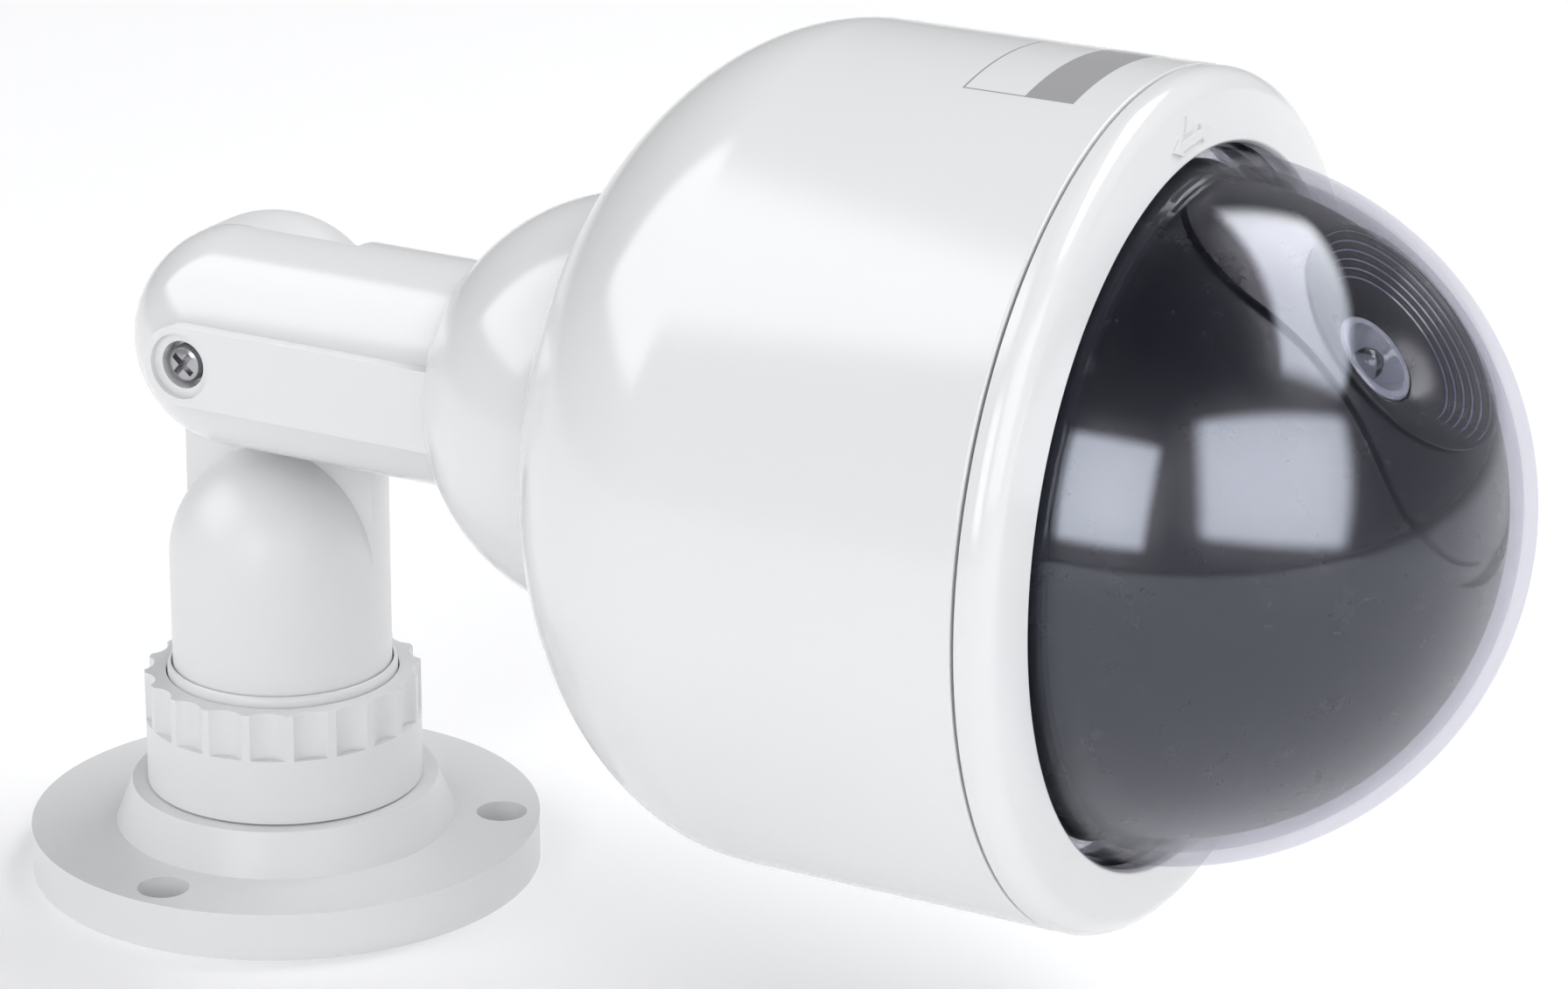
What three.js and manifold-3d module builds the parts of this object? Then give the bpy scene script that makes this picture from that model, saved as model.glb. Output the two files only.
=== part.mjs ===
// Dome camera on a knuckle bracket: a round base with a lock nut, a turning stem, a tilting arm
// and a round head that carries a clear dome over a dark inner shell.
// Millimetres, +Z up. The origin is the centre of the base's underside, the stem stands on +Z
// and the arm and the head lie along +X. The hinge of the arm runs along Y.
import * as THREE from "three";
import { mergeVertices } from "three/addons/utils/BufferGeometryUtils.js";
import Module from "manifold-3d";

const wasm = await Module();
wasm.setup();

// Clearances
const GAP = 0.3; // between faces that meet
const RUN = 0.25; // round fit, on the radius
const OVER = 1; // how far a cutter runs past what it cuts

// Base
const FLANGE_R = 45;
const FLANGE_T = 8.45;
const FLANGE_EDGE = 0.7;
const BOSS_TOP = 16;
const BOSS_LEDGE = 2.75; // how far the boss reaches past the lock nut
const BOSS_SLOPE = 3;
const HOLE_R = 4.5;
const HOLE_INSET = 6.8; // from the flange's edge to a hole's centre
const HOLES = 3;
const HOLE_START = -90; // degrees, counted from +X
const SPIGOT_WALL = 2.1;
const SPIGOT_TOP = 31;
const PLATE_T = 2.3;
const PLATE_LAP = 5.85; // past the recess that holds the stem's foot
const PLATE_SEAT = 3;
const PLATE_HOLE_R = 10;

// Stem
const STEM_R = 19.25;
const STEM_WALL = 2.5;
const PIVOT_HEIGHT = 100;
const KNUCKLE_GAP = 3.8; // from the stem's round shoulder to the arm above it
const FOOT_LIP = 3.65;
const FOOT_BOTTOM = 3.2;
const FOOT_T = 2.6;
const WASHER_T = 0.9;
const LUG_ROOT = 5; // how deep the lug reaches below the shoulder

// Lock nut and clamp ring
const NUT_WALL = 2.4;
const NUT_TOP = 36.4;
const NUT_LIP_T = 1.8;
const FLUTE_FLOOR = 28;
const FLUTES = 20;
const FLUTE_SHARE = 0.795; // of the pitch, the rest is the rib
const FLUTE_DEPTH = 1.25;
const CLAMP_TOP = 38.2;
const CLAMP_BEAD = 0.75; // wall of the ring where it stands above the nut
const CLAMP_SLOT = 1.5;

// Arm
const ARM_WALL = 2.75;
const ARM_CLEAR = 3.75; // from the stem's lug to the far half of the arm
const ARM_OFFSET = 8; // from the stem's axis to the arm's, towards -Y
const PAD_HALF = 7;
const PAD_RISE = 1.35; // above the round of the arm
const PAD_END_CUT = 26; // past this the pad runs into the ball
const BALL_X = 77.25;
const BALL_R = 35.6;
const BALL_WALL = 2.5;
const NECK_FLANGE_LAP = 7.9;
const NECK_FLANGE_T = 2.5;

// Hinge hardware
const SCREW_SHANK_R = 2;
const SCREW_HEAD_R = 3.75;
const SCREW_HEAD_T = 2.6;
const SCREW_WASHER_R = 3.8;
const SCREW_WASHER_T = 0.8;
const DISH_R = 5.7;
const DISH_DEPTH = 1.2;
const HEAD_SINK = 1.1; // from the pad to the face of the screw head
const NUT_FLATS = 7;
const NUT_THICK = 3.2;
const NUT_DEPTH = 6.85; // from the round of the lug to the nut's inner face
const CAP_R = 6;
const CAP_T = 2;
const FRICTION_IN_R = 7;
const FRICTION_RIM = 4.25; // left outside the washer's seat
const FRICTION_T = 1.6;

// Housing
const HOUSING_R = 69.05;
const HOUSING_WALL = 2.6;
const HOUSING_LENGTH = 54; // of its cylinder
const SHOULDER_LENGTH = 45.35; // of its rounded back, at full depth
const HOUSING_CHAMFER = 0.8;
const NECK_BOSS_R = 3.4;
const NECK_SCREW_OUT = 4.4; // from the ball's edge to a neck screw
const POST_R = 4;
const POST_BACK = 8; // how far a post reaches behind the shoulder
const CATCHES = 4;
const CATCH_ANGLE = 15;
const CATCH_T = 2;
const CATCH_DEPTH = 4;
const LUG_ANGLE = 20;
const LUG_T = 2.1;

// Bezel, clear dome and seals
const SEAM = 0.5;
const BEZEL_DEPTH = 7;
const BEZEL_WIDTH = 11.55;
const BEZEL_ROUND_R = 10; // of the rounded front edge, measured across
const SKIRT_GAP = 2.45; // room for the catches and the seal
const SKIRT_WALL = 2;
const SKIRT_DEPTH = 8.5;
const DOME_WALL = 2.2;
const DOME_SHOW = 1.04; // open ring between the bezel and the dome
const DOME_AHEAD = 4.2; // centre of the dome, ahead of the housing
const LIP_AHEAD = 3.8;
const DOME_FLANGE_T = 1.8;
const GASKET_T = 0.8;
const RETAINER_T = 2.3;
const SEAL_WIDTH = 2.6;

// Inner shell and its lens
const SHELL_WALL = 2.2;
const SHELL_GAP = 2.06; // between the dome and the shell
const SHELL_SCREW_INSET = 5.4;
const SHELL_BOSS_R = 3.9;
const TRACK_HALF = 24.1; // outer half width of the groove round the lens window
const TRACK_WIDTH = 2.8;
const TRACK_DEPTH = 1;
const TRACK_TILT = 44.2;
const TRACK_SWING = 15.8; // from its middle to the centre of each round end
const LENS_TILT = 42.2;
const LENS_RIM_R = 19.7;
const LENS_PROUD = 1.06;
const LENS_LIP = 0.8;
const LENS_STEPS = 6;
const LENS_STEP_DEPTH = 2;
const LENS_BORE_DEPTH = 5.8;
const LENS_CONE_R = 11.7;
const LENS_BORE_R = 7.7;
const LENS_TUBE_WALL = 1.7;
const LENS_TUBE_LENGTH = 8.6;
const LED_R = 2.5;
const LED_LENGTH = 7.1;
const LED_SETBACK = 6.2; // from the mouth of the lens bore to the LED's foot

// Chassis and electrics
const CHASSIS_T = 2.5;
const CHASSIS_DEPTH = 14.5;
const CELL_R = 7.05;
const CELL_LENGTH = 50;
const BOX_WALL = 1.6;
const BOX_END_ROOM = 3; // for a spring or a contact at each end of a cell
const BOX_SIDE_ROOM = 1.35;
const BOX_LID_ROOM = 4.5;
const BOX_LAP = 5;
const BOX_EAR = 8;
const BOX_MIDDLE = -14; // height of the battery box below the arm's axis
const LID_T = 1.6;
const HINGE_PIN_R = 0.95;
const HINGE_BARREL_R = 1.9;
const BOARD_Y = 30;
const BOARD_Z = 16;
const BOARD_T = 1.6;
const BOARD_STANDOFF = 3.4;
const BOARD_SCREW_Y = 11.5;
const BOARD_ABOVE = 3;
const SWITCH_ASIDE = 9;
const SWITCH_WIDTH = 7;
const SWITCH_LENGTH = 12;
const SWITCH_DEPTH = 6;
const KNOB_SIZE = 3;
const KNOB_TRAVEL = 3;
const KNOB_PROUD = 2.6;

// Facets
const FINE = 36;
const MEDIUM = 28;
const COARSE = 18;
const SMALL = 10;
const ARC_STEPS = 5;
const INNER_STEPS = 4;

const spigotIn = STEM_R + RUN;
const spigotR = spigotIn + SPIGOT_WALL;
const nutIn = spigotR + RUN;
const nutR = nutIn + NUT_WALL;
const bossTopR = nutR + BOSS_LEDGE;
const bossFootR = bossTopR + BOSS_SLOPE;
const holePitchR = FLANGE_R - HOLE_INSET;
const footR = STEM_R + FOOT_LIP;
const footTop = FOOT_BOTTOM + FOOT_T;
const recessTop = footTop + WASHER_T + GAP;
const recessR = footR + RUN;
const plateR = recessR + PLATE_LAP;
const clampOut = spigotR + RUN / 2;
const wedge = { low: SPIGOT_TOP + 1.3, high: NUT_TOP - NUT_LIP_T };
const clampBeadR = STEM_R + RUN + CLAMP_BEAD;

const armR = STEM_R;
const stemShoulder = PIVOT_HEIGHT - STEM_R - armR - KNUCKLE_GAP;
const armFarStart = STEM_R + ARM_CLEAR;
const frictionOutR = STEM_R - FRICTION_RIM;
const hingeNutFace = STEM_R - NUT_DEPTH;
const padFace = armR + PAD_RISE;
const dishFloor = padFace - DISH_DEPTH;
const headFace = padFace - HEAD_SINK;
const seatFace = headFace - SCREW_HEAD_T - SCREW_WASHER_T;

const innerHousingR = HOUSING_R - HOUSING_WALL;
const rearR = BALL_R + 0.4;
const neckFlangeR = BALL_R + NECK_FLANGE_LAP;
const neckScrewR = BALL_R + NECK_SCREW_OUT;
const shoulderX = BALL_X + 0.05 + SHOULDER_LENGTH * Math.sqrt(1 - (rearR / HOUSING_R) ** 2);
const neckFlangeX = backX(HOUSING_WALL, neckFlangeR + 1.4);
const housingFront = shoulderX + HOUSING_LENGTH;
const postPitchR = innerHousingR - POST_R + RUN;
const catchFront = housingFront - CATCH_DEPTH;
const bezelRear = housingFront + SEAM;
const bezelOpeningR = HOUSING_R - BEZEL_WIDTH;
const skirtR = innerHousingR - SKIRT_GAP;
const skirtEnd = housingFront - SKIRT_DEPTH;
const lipRear = housingFront + LIP_AHEAD;
const domeX = housingFront + DOME_AHEAD;
const domeR = bezelOpeningR - DOME_SHOW;
const domeFlangeR = skirtR - SKIRT_WALL - 2 * RUN;
const shellR = domeR - DOME_WALL - SHELL_GAP;
const chassisX = housingFront - CHASSIS_DEPTH;
const chassisFront = chassisX + CHASSIS_T;
const chassisR = innerHousingR - 2 * RUN;
const shellRear = chassisFront + GAP;
const shellScrewPitchR = shellR - SHELL_SCREW_INSET;

const lensRimH = Math.sqrt(shellR * shellR - LENS_RIM_R * LENS_RIM_R) + LENS_PROUD;
const lensSeatR = LENS_RIM_R - LENS_LIP;
const lensConeH = lensRimH - LENS_STEP_DEPTH;
const lensBoreH = lensRimH - LENS_BORE_DEPTH;
const lensTubeEnd = lensBoreH - LENS_TUBE_LENGTH;
const ledBase = lensBoreH - LED_SETBACK;
const ledTop = ledBase + LED_LENGTH;

const cellSpacing = 2 * CELL_R + 1.1;
const boxHalfY = cellSpacing / 2 + CELL_R + BOX_SIDE_ROOM;
const boxHalfZ = CELL_LENGTH / 2 + BOX_END_ROOM;
const boxDepth = 2 * CELL_R + BOX_LID_ROOM;
const boxFront = chassisFront - 0.4;
const cellX = boxFront - boxDepth + CELL_R + 0.75;
const boxFlangeY = boxHalfY + BOX_EAR;
const boxFlangeZ = boxHalfZ + BOX_LAP;
const boxScrewY = boxHalfY + BOX_LAP;
const boardMiddle = BOX_MIDDLE + boxFlangeZ + BOARD_ABOVE + BOARD_Z / 2;
const switchY = boxFlangeY + SWITCH_ASIDE;

const WHITE = { color: 0xeef0f0, roughness: 0.3, metalness: 0 };
const DARK = { color: 0x1c1e22, roughness: 0.6, metalness: 0 };
const STEEL = { color: 0x9a9a9e, roughness: 0.35, metalness: 1 };
const RUBBER = { color: 0x202020, roughness: 0.8, metalness: 0 };
const CLEAR = { color: 0xd8d4e0, roughness: 0.05, metalness: 0, transparent: true, opacity: 0.35 };
const GREY = { color: 0x5c6066, roughness: 0.6, metalness: 0 };
const GREEN = { color: 0x1d6b3a, roughness: 0.5, metalness: 0 };
const NATURAL = { color: 0xe8e2d2, roughness: 0.5, metalness: 0 };
const CELL = { color: 0x2f5f9a, roughness: 0.4, metalness: 0.2 };

const camera = new THREE.Group();
const head = new THREE.Group();
head.position.set(0, -ARM_OFFSET, PIVOT_HEIGHT);
const lensGroup = new THREE.Group();
lensGroup.position.set(domeX, 0, 0);
lensGroup.rotation.y = -THREE.MathUtils.degToRad(LENS_TILT);
head.add(lensGroup);
camera.add(head);

function radians(degrees) {
  return THREE.MathUtils.degToRad(degrees);
}

// A closed geometry as a solid that can be joined and cut
function solid(geometry) {
  const bare = geometry.clone();
  bare.deleteAttribute("normal");
  bare.deleteAttribute("uv");
  const merged = mergeVertices(bare, 1e-4);
  const index = merged.index.array;
  const triangles = [];
  for (let i = 0; i < index.length; i += 3) {
    const [a, b, c] = [index[i], index[i + 1], index[i + 2]];
    if (a !== b && b !== c && c !== a) triangles.push(a, b, c);
  }
  return new wasm.Manifold(new wasm.Mesh({
    numProp: 3,
    vertProperties: new Float32Array(merged.attributes.position.array),
    triVerts: new Uint32Array(triangles),
  }));
}

function addPiece(group, name, body, look) {
  const made = body.getMesh();
  const geometry = new THREE.BufferGeometry();
  geometry.setAttribute("position", new THREE.BufferAttribute(made.vertProperties, 3));
  geometry.setIndex(new THREE.BufferAttribute(made.triVerts, 1));
  geometry.computeVertexNormals();
  const mesh = new THREE.Mesh(geometry, new THREE.MeshStandardMaterial(look));
  mesh.name = name;
  group.add(mesh);
  return mesh;
}

// Turns a geometry built along Y onto the named axis
function aim(geometry, axis) {
  if (axis === "x") geometry.rotateZ(-Math.PI / 2);
  if (axis === "z") geometry.rotateX(Math.PI / 2);
  return geometry;
}

// A solid of revolution from an outline of [radius, place along the axis]
function revolve(axis, outline, segments = MEDIUM) {
  let area = 0;
  outline.forEach(([r, a], i) => {
    const [r2, a2] = outline[(i + 1) % outline.length];
    area += r * a2 - r2 * a;
  });
  const turned = area > 0 ? outline : [...outline].reverse();
  const points = [...turned, turned[0]].map(([r, a]) => new THREE.Vector2(r, a));
  return solid(aim(new THREE.LatheGeometry(points, segments), axis));
}

function ring(axis, inner, outer, from, to, segments = MEDIUM) {
  return revolve(axis, [[inner, from], [outer, from], [outer, to], [inner, to]], segments);
}

function disc(axis, radius, from, to, segments = MEDIUM) {
  return ring(axis, 0, radius, from, to, segments);
}

// The same disc moved sideways off its axis
function rod(axis, radius, from, to, place, segments = SMALL) {
  return disc(axis, radius, from, to, segments).translate(place);
}

function box(x, y, z) {
  const geometry = new THREE.BoxGeometry(x[1] - x[0], y[1] - y[0], z[1] - z[0]);
  geometry.translate((x[0] + x[1]) / 2, (y[0] + y[1]) / 2, (z[0] + z[1]) / 2);
  return solid(geometry);
}

// Points of an elliptical arc as [radius, place], from one angle to another
function arc(centreR, centreA, radiusR, radiusA, from, to, steps = ARC_STEPS) {
  const points = [];
  for (let i = 0; i <= steps; i++) {
    const t = radians(from + ((to - from) * i) / steps);
    const r = centreR + radiusR * Math.cos(t);
    points.push([Math.abs(r) < 1e-6 ? 0 : r, centreA + radiusA * Math.sin(t)]);
  }
  return points;
}

// Places round an axis: [degrees, first coordinate, second coordinate]
function around(count, radius, start) {
  return Array.from({ length: count }, (_, i) => {
    const angle = start + (360 / count) * i;
    return [angle, radius * Math.cos(radians(angle)), radius * Math.sin(radians(angle))];
  });
}

// A block that is a part of a ring about the X axis, centred on an angle
function sector(inner, outer, from, to, middle, width) {
  const [a, b] = [radians(middle - width / 2), radians(middle + width / 2)];
  const shape = new THREE.Shape();
  shape.absarc(0, 0, outer, a, b, false);
  shape.absarc(0, 0, inner, b, a, true);
  const geometry = new THREE.ExtrudeGeometry(shape, {
    depth: to - from,
    bevelEnabled: false,
    curveSegments: 3,
  });
  geometry.rotateZ(Math.PI / 2);
  geometry.rotateY(Math.PI / 2);
  geometry.translate(from, 0, 0);
  return solid(geometry);
}

// A slot-shaped block: two round ends joined, lying in the plane across Y
function obround(radius, fromX, toX, fromY, toY) {
  const shape = new THREE.Shape();
  shape.moveTo(toX, -radius);
  shape.lineTo(toX, radius);
  shape.absarc(fromX, 0, radius, Math.PI / 2, (3 * Math.PI) / 2, false);
  const geometry = new THREE.ExtrudeGeometry(shape, {
    depth: toY - fromY,
    bevelEnabled: false,
    curveSegments: 10,
  });
  geometry.rotateX(Math.PI / 2);
  geometry.translate(0, toY, 0);
  return solid(geometry);
}

// A pan-head screw along X or Y; the sign gives the way its shank points
function panScrew(axis, head, headT, shank, seat, tip, segments = SMALL - 2) {
  const way = Math.sign(tip - seat);
  const crown = seat - way * headT;
  return revolve(axis, [
    [0, crown],
    [head * 0.75, crown],
    [head, crown + way * headT * 0.45],
    [head, seat],
    [shank, seat],
    [shank, tip],
    [0, tip],
  ], segments);
}

function buildBase() {
  let flange = revolve("z", [
    [plateR + GAP, 0],
    [FLANGE_R, 0],
    [FLANGE_R, FLANGE_T - FLANGE_EDGE],
    [FLANGE_R - FLANGE_EDGE, FLANGE_T],
    [bossFootR, FLANGE_T],
    [bossTopR + 0.2, BOSS_TOP - 0.5],
    [bossTopR - 0.3, BOSS_TOP],
    [spigotR, BOSS_TOP],
    [spigotR, SPIGOT_TOP],
    [spigotIn, SPIGOT_TOP],
    [spigotIn, recessTop],
    [recessR, recessTop],
    [recessR, PLATE_SEAT],
    [plateR + GAP, PLATE_SEAT],
  ], FINE);
  for (const [, x, y] of around(HOLES, holePitchR, HOLE_START)) {
    flange = flange.subtract(rod("z", HOLE_R, -OVER, FLANGE_T + OVER, [x, y, 0], COARSE));
  }

  const plateBottom = PLATE_SEAT - GAP - PLATE_T;
  const screwPitch = (recessR + plateR) / 2;
  const screwR = 1.2;
  const screwTip = PLATE_SEAT + 8;
  let plate = ring("z", PLATE_HOLE_R, plateR, plateBottom, plateBottom + PLATE_T, MEDIUM);
  const screwHead = (grow, bottom) => [
    [0, bottom],
    [2.4 + grow, bottom],
    [2.4 + grow, plateBottom + 0.3],
    [screwR + grow, plateBottom + 1.5],
  ];
  around(3, screwPitch, HOLE_START + 60).forEach(([, x, y], i) => {
    const hole = [...screwHead(RUN, plateBottom - OVER), [screwR + RUN, screwTip + GAP]];
    const cutter = revolve("z", [...hole, [0, screwTip + GAP]], SMALL).translate([x, y, 0]);
    plate = plate.subtract(cutter);
    flange = flange.subtract(cutter);
    const screw = [...screwHead(0, plateBottom), [screwR, screwTip], [0, screwTip]];
    const body = revolve("z", screw, SMALL).translate([x, y, 0]);
    addPiece(camera, `retainer_screw_${i + 1}`, body, STEEL);
  });
  addPiece(camera, "base_flange", flange, WHITE);
  addPiece(camera, "retainer_plate", plate, GREY);
  const washer = ring("z", spigotIn + 0.2, footR, footTop + 0.15, footTop + 0.15 + WASHER_T);
  addPiece(camera, "thrust_washer", washer, NATURAL);
}

function buildLockNut() {
  const bottom = BOSS_TOP + GAP;
  const inner = spigotR + RUN;
  const lipR = clampBeadR + RUN;
  let nut = revolve("z", [
    [inner, bottom],
    [nutR, bottom],
    [nutR, NUT_TOP - 0.4],
    [nutR - 0.4, NUT_TOP],
    [lipR, NUT_TOP],
    [lipR, wedge.high],
    [inner, wedge.low],
  ], FLUTES * 2);
  const half = nutR * Math.sin(radians((180 / FLUTES) * FLUTE_SHARE));
  const cutR = (half * half + FLUTE_DEPTH * FLUTE_DEPTH) / (2 * FLUTE_DEPTH);
  const cutPitch = nutR - FLUTE_DEPTH + cutR;
  for (const [, x, y] of around(FLUTES, cutPitch, 180 / FLUTES)) {
    nut = nut.subtract(rod("z", cutR, FLUTE_FLOOR, NUT_TOP + OVER, [x, y, 0], COARSE));
  }
  addPiece(camera, "lock_nut", nut, WHITE);

  const bore = STEM_R + RUN;
  let clamp = revolve("z", [
    [bore, SPIGOT_TOP + GAP],
    [clampOut, SPIGOT_TOP + GAP],
    [clampOut, wedge.low],
    [clampBeadR, wedge.high - 0.2],
    [clampBeadR, CLAMP_TOP - 1],
    [clampBeadR - 0.15, CLAMP_TOP - 0.35],
    [bore + 0.25, CLAMP_TOP],
    [bore, CLAMP_TOP],
  ], FINE);
  const slot = CLAMP_SLOT / 2;
  clamp = clamp.subtract(box([-slot, slot], [0, nutR], [SPIGOT_TOP, CLAMP_TOP + OVER]));
  addPiece(camera, "clamp_ring", clamp, WHITE);
}

function buildStem() {
  const core = STEM_R - STEM_WALL;
  const tube = revolve("z", [
    [core, FOOT_BOTTOM],
    [footR, FOOT_BOTTOM],
    [footR, footTop],
    [STEM_R, footTop],
    ...arc(0, stemShoulder, STEM_R, STEM_R, 0, 90),
    ...arc(0, stemShoulder, core, core, 90, 0, INNER_STEPS),
  ], MEDIUM);
  const capsule = revolve("z", [
    [0, stemShoulder - LUG_ROOT],
    [STEM_R, stemShoulder - LUG_ROOT],
    ...arc(0, PIVOT_HEIGHT, STEM_R, STEM_R, 0, 90),
  ], MEDIUM);
  const farSide = box(
    [-STEM_R - OVER, STEM_R + OVER],
    [0, STEM_R + OVER],
    [0, PIVOT_HEIGHT + STEM_R + OVER],
  );
  const bossFace = -(ARM_OFFSET - GAP);
  const atPivot = (body) => body.translate([0, 0, PIVOT_HEIGHT]);
  const boss = atPivot(disc("y", STEM_R, bossFace, 0.05, MEDIUM));
  const middle = -ARM_OFFSET + GAP / 2;
  const grow = 0.2;
  const frictionSeat = ring("y", FRICTION_IN_R - grow, frictionOutR + grow,
    bossFace - OVER, middle + FRICTION_T / 2 + grow, MEDIUM);
  const capSeat = STEM_R - CAP_T - 0.85;
  const hexR = NUT_FLATS / 2 / Math.cos(Math.PI / 6);
  let stem = tube.add(capsule.intersect(farSide)).add(boss);
  stem = stem.subtract(atPivot(frictionSeat));
  stem = stem.subtract(atPivot(disc("y", SCREW_SHANK_R + RUN, bossFace - OVER, STEM_R + OVER, SMALL)));
  stem = stem.subtract(atPivot(disc("y", hexR + GAP, hingeNutFace - 0.2, STEM_R + OVER, 6)));
  stem = stem.subtract(atPivot(disc("y", CAP_R + RUN, capSeat, STEM_R + OVER, COARSE)));
  addPiece(camera, "stem_knuckle", stem, WHITE);

  const nut = disc("y", hexR, hingeNutFace, hingeNutFace + NUT_THICK, 6)
    .subtract(disc("y", SCREW_SHANK_R + 0.15, hingeNutFace - OVER, hingeNutFace + NUT_THICK + OVER, SMALL));
  addPiece(camera, "pivot_nut", atPivot(nut), STEEL);
  const cap = disc("y", CAP_R, capSeat + GAP, capSeat + GAP + CAP_T, COARSE);
  addPiece(camera, "pivot_cap", atPivot(cap), WHITE);
  const friction = ring("y", FRICTION_IN_R, frictionOutR,
    middle - FRICTION_T / 2, middle + FRICTION_T / 2, MEDIUM);
  addPiece(camera, "friction_washer", atPivot(friction), NATURAL);

  const world = (local) => -local - ARM_OFFSET;
  const tip = hingeNutFace + NUT_THICK + 0.6;
  const seat = world(seatFace + SCREW_WASHER_T);
  let screw = panScrew("y", SCREW_HEAD_R, SCREW_HEAD_T, SCREW_SHANK_R, seat, tip, COARSE);
  const arm = { half: 0.6, long: 2.3, deep: 1.5 };
  const front = world(headFace);
  screw = screw.subtract(box([-arm.long, arm.long], [front - OVER, front + arm.deep],
    [-arm.half, arm.half]));
  screw = screw.subtract(box([-arm.half, arm.half], [front - OVER, front + arm.deep],
    [-arm.long, arm.long]));
  addPiece(camera, "pivot_screw", atPivot(screw), STEEL);
  const washer = ring("y", SCREW_SHANK_R + 0.15, SCREW_WASHER_R, seat + 0.1, world(seatFace) - 0.1,
    COARSE);
  addPiece(camera, "pivot_washer", atPivot(washer), STEEL);
}

function buildArm() {
  const capsule = revolve("x", [
    ...arc(0, 0, armR, armR, -90, 0),
    [armR, BALL_X],
    [0, BALL_X],
  ], MEDIUM);
  const nearSide = box([-armR - OVER, BALL_X], [-armR - OVER, 0], [-armR - OVER, armR + OVER]);
  const farPart = disc("x", armR, armFarStart, BALL_X, MEDIUM);
  const ball = revolve("x", [
    ...arc(0, BALL_X, BALL_R, BALL_R, -90, 0, ARC_STEPS + 2),
    [BALL_R, neckFlangeX],
    [neckFlangeR, neckFlangeX],
    [neckFlangeR, neckFlangeX + NECK_FLANGE_T],
    [0, neckFlangeX + NECK_FLANGE_T],
  ], FINE);
  const pad = obround(PAD_HALF, 0, BALL_X - PAD_END_CUT, -padFace, -armR / 2);
  const cavityR = BALL_R - BALL_WALL;
  const cavity = revolve("x", [
    ...arc(0, BALL_X, cavityR, cavityR, -90, 0, INNER_STEPS),
    [cavityR, neckFlangeX + NECK_FLANGE_T + OVER],
    [0, neckFlangeX + NECK_FLANGE_T + OVER],
  ], MEDIUM);
  const bore = disc("x", armR - ARM_WALL, armFarStart + ARM_WALL, BALL_X, MEDIUM);
  const grow = 0.2;
  const frictionSeat = ring("y", FRICTION_IN_R - grow, frictionOutR + grow,
    GAP / 2 - FRICTION_T / 2 - grow, OVER, MEDIUM);
  let arm = capsule.intersect(nearSide).add(farPart).add(ball).add(pad);
  arm = arm.subtract(cavity).subtract(bore).subtract(frictionSeat);
  arm = arm.subtract(disc("y", DISH_R, -padFace - OVER, -dishFloor, COARSE));
  arm = arm.subtract(disc("y", SCREW_WASHER_R + 0.35, -padFace - OVER, -seatFace, COARSE));
  arm = arm.subtract(disc("y", SCREW_SHANK_R + RUN, -padFace - OVER, OVER, SMALL));
  const seat = neckFlangeX + NECK_FLANGE_T;
  around(3, neckScrewR, 90).forEach(([, y, z], i) => {
    arm = arm.subtract(rod("x", 1.15 + RUN, neckFlangeX - OVER, seat + OVER, [0, y, z]));
    const screw = panScrew("x", 2.6, 1.8, 1.15, seat + 0.1, neckFlangeX - 3.4);
    addPiece(head, `neck_screw_${i + 1}`, screw.translate([0, y, z]), STEEL);
  });
  addPiece(head, "arm_knuckle", arm, WHITE);
}

// Where the housing's back has a given radius, at a given depth below its surface
function backX(depth, radius) {
  return shoulderX - (SHOULDER_LENGTH - depth) * Math.sqrt(1 - (radius / (HOUSING_R - depth)) ** 2);
}

// Outline of the housing's back at a given depth below its surface, from the neck to the cylinder
function backOutline(depth, steps) {
  const long = SHOULDER_LENGTH - depth;
  const wide = HOUSING_R - depth;
  const start = (Math.acos(rearR / wide) * 180) / Math.PI;
  return arc(0, shoulderX, wide, long, -start, 0, steps);
}

function buildHousing() {
  let shell = revolve("x", [
    ...backOutline(0, ARC_STEPS + 3),
    [HOUSING_R, housingFront - HOUSING_CHAMFER],
    [HOUSING_R - HOUSING_CHAMFER, housingFront],
    [innerHousingR, housingFront],
    ...backOutline(HOUSING_WALL, INNER_STEPS + 2).reverse(),
  ], FINE);
  for (const [angle] of around(CATCHES, 1, 0)) {
    shell = shell.add(sector(skirtR + RUN, innerHousingR + 1, catchFront - CATCH_T, catchFront,
      angle, CATCH_ANGLE));
  }
  const bossEnd = neckFlangeX - GAP;
  const bossStart = backX(0, neckScrewR + NECK_BOSS_R) + 0.8;
  for (const [, y, z] of around(3, neckScrewR, 90)) {
    shell = shell.add(rod("x", NECK_BOSS_R, bossStart, bossEnd, [0, y, z], 16));
    shell = shell.subtract(rod("x", 1.15 + RUN, bossEnd - 3.6, bossEnd + OVER, [0, y, z]));
  }
  const postEnd = chassisX - GAP;
  for (const [, y, z] of around(3, postPitchR, 90)) {
    shell = shell.add(rod("x", POST_R, shoulderX - POST_BACK, postEnd, [0, y, z], 16));
    shell = shell.subtract(rod("x", 1.4 + RUN, postEnd - 12, postEnd + OVER, [0, y, z]));
  }
  addPiece(head, "housing_shell", shell, WHITE);
}

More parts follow.
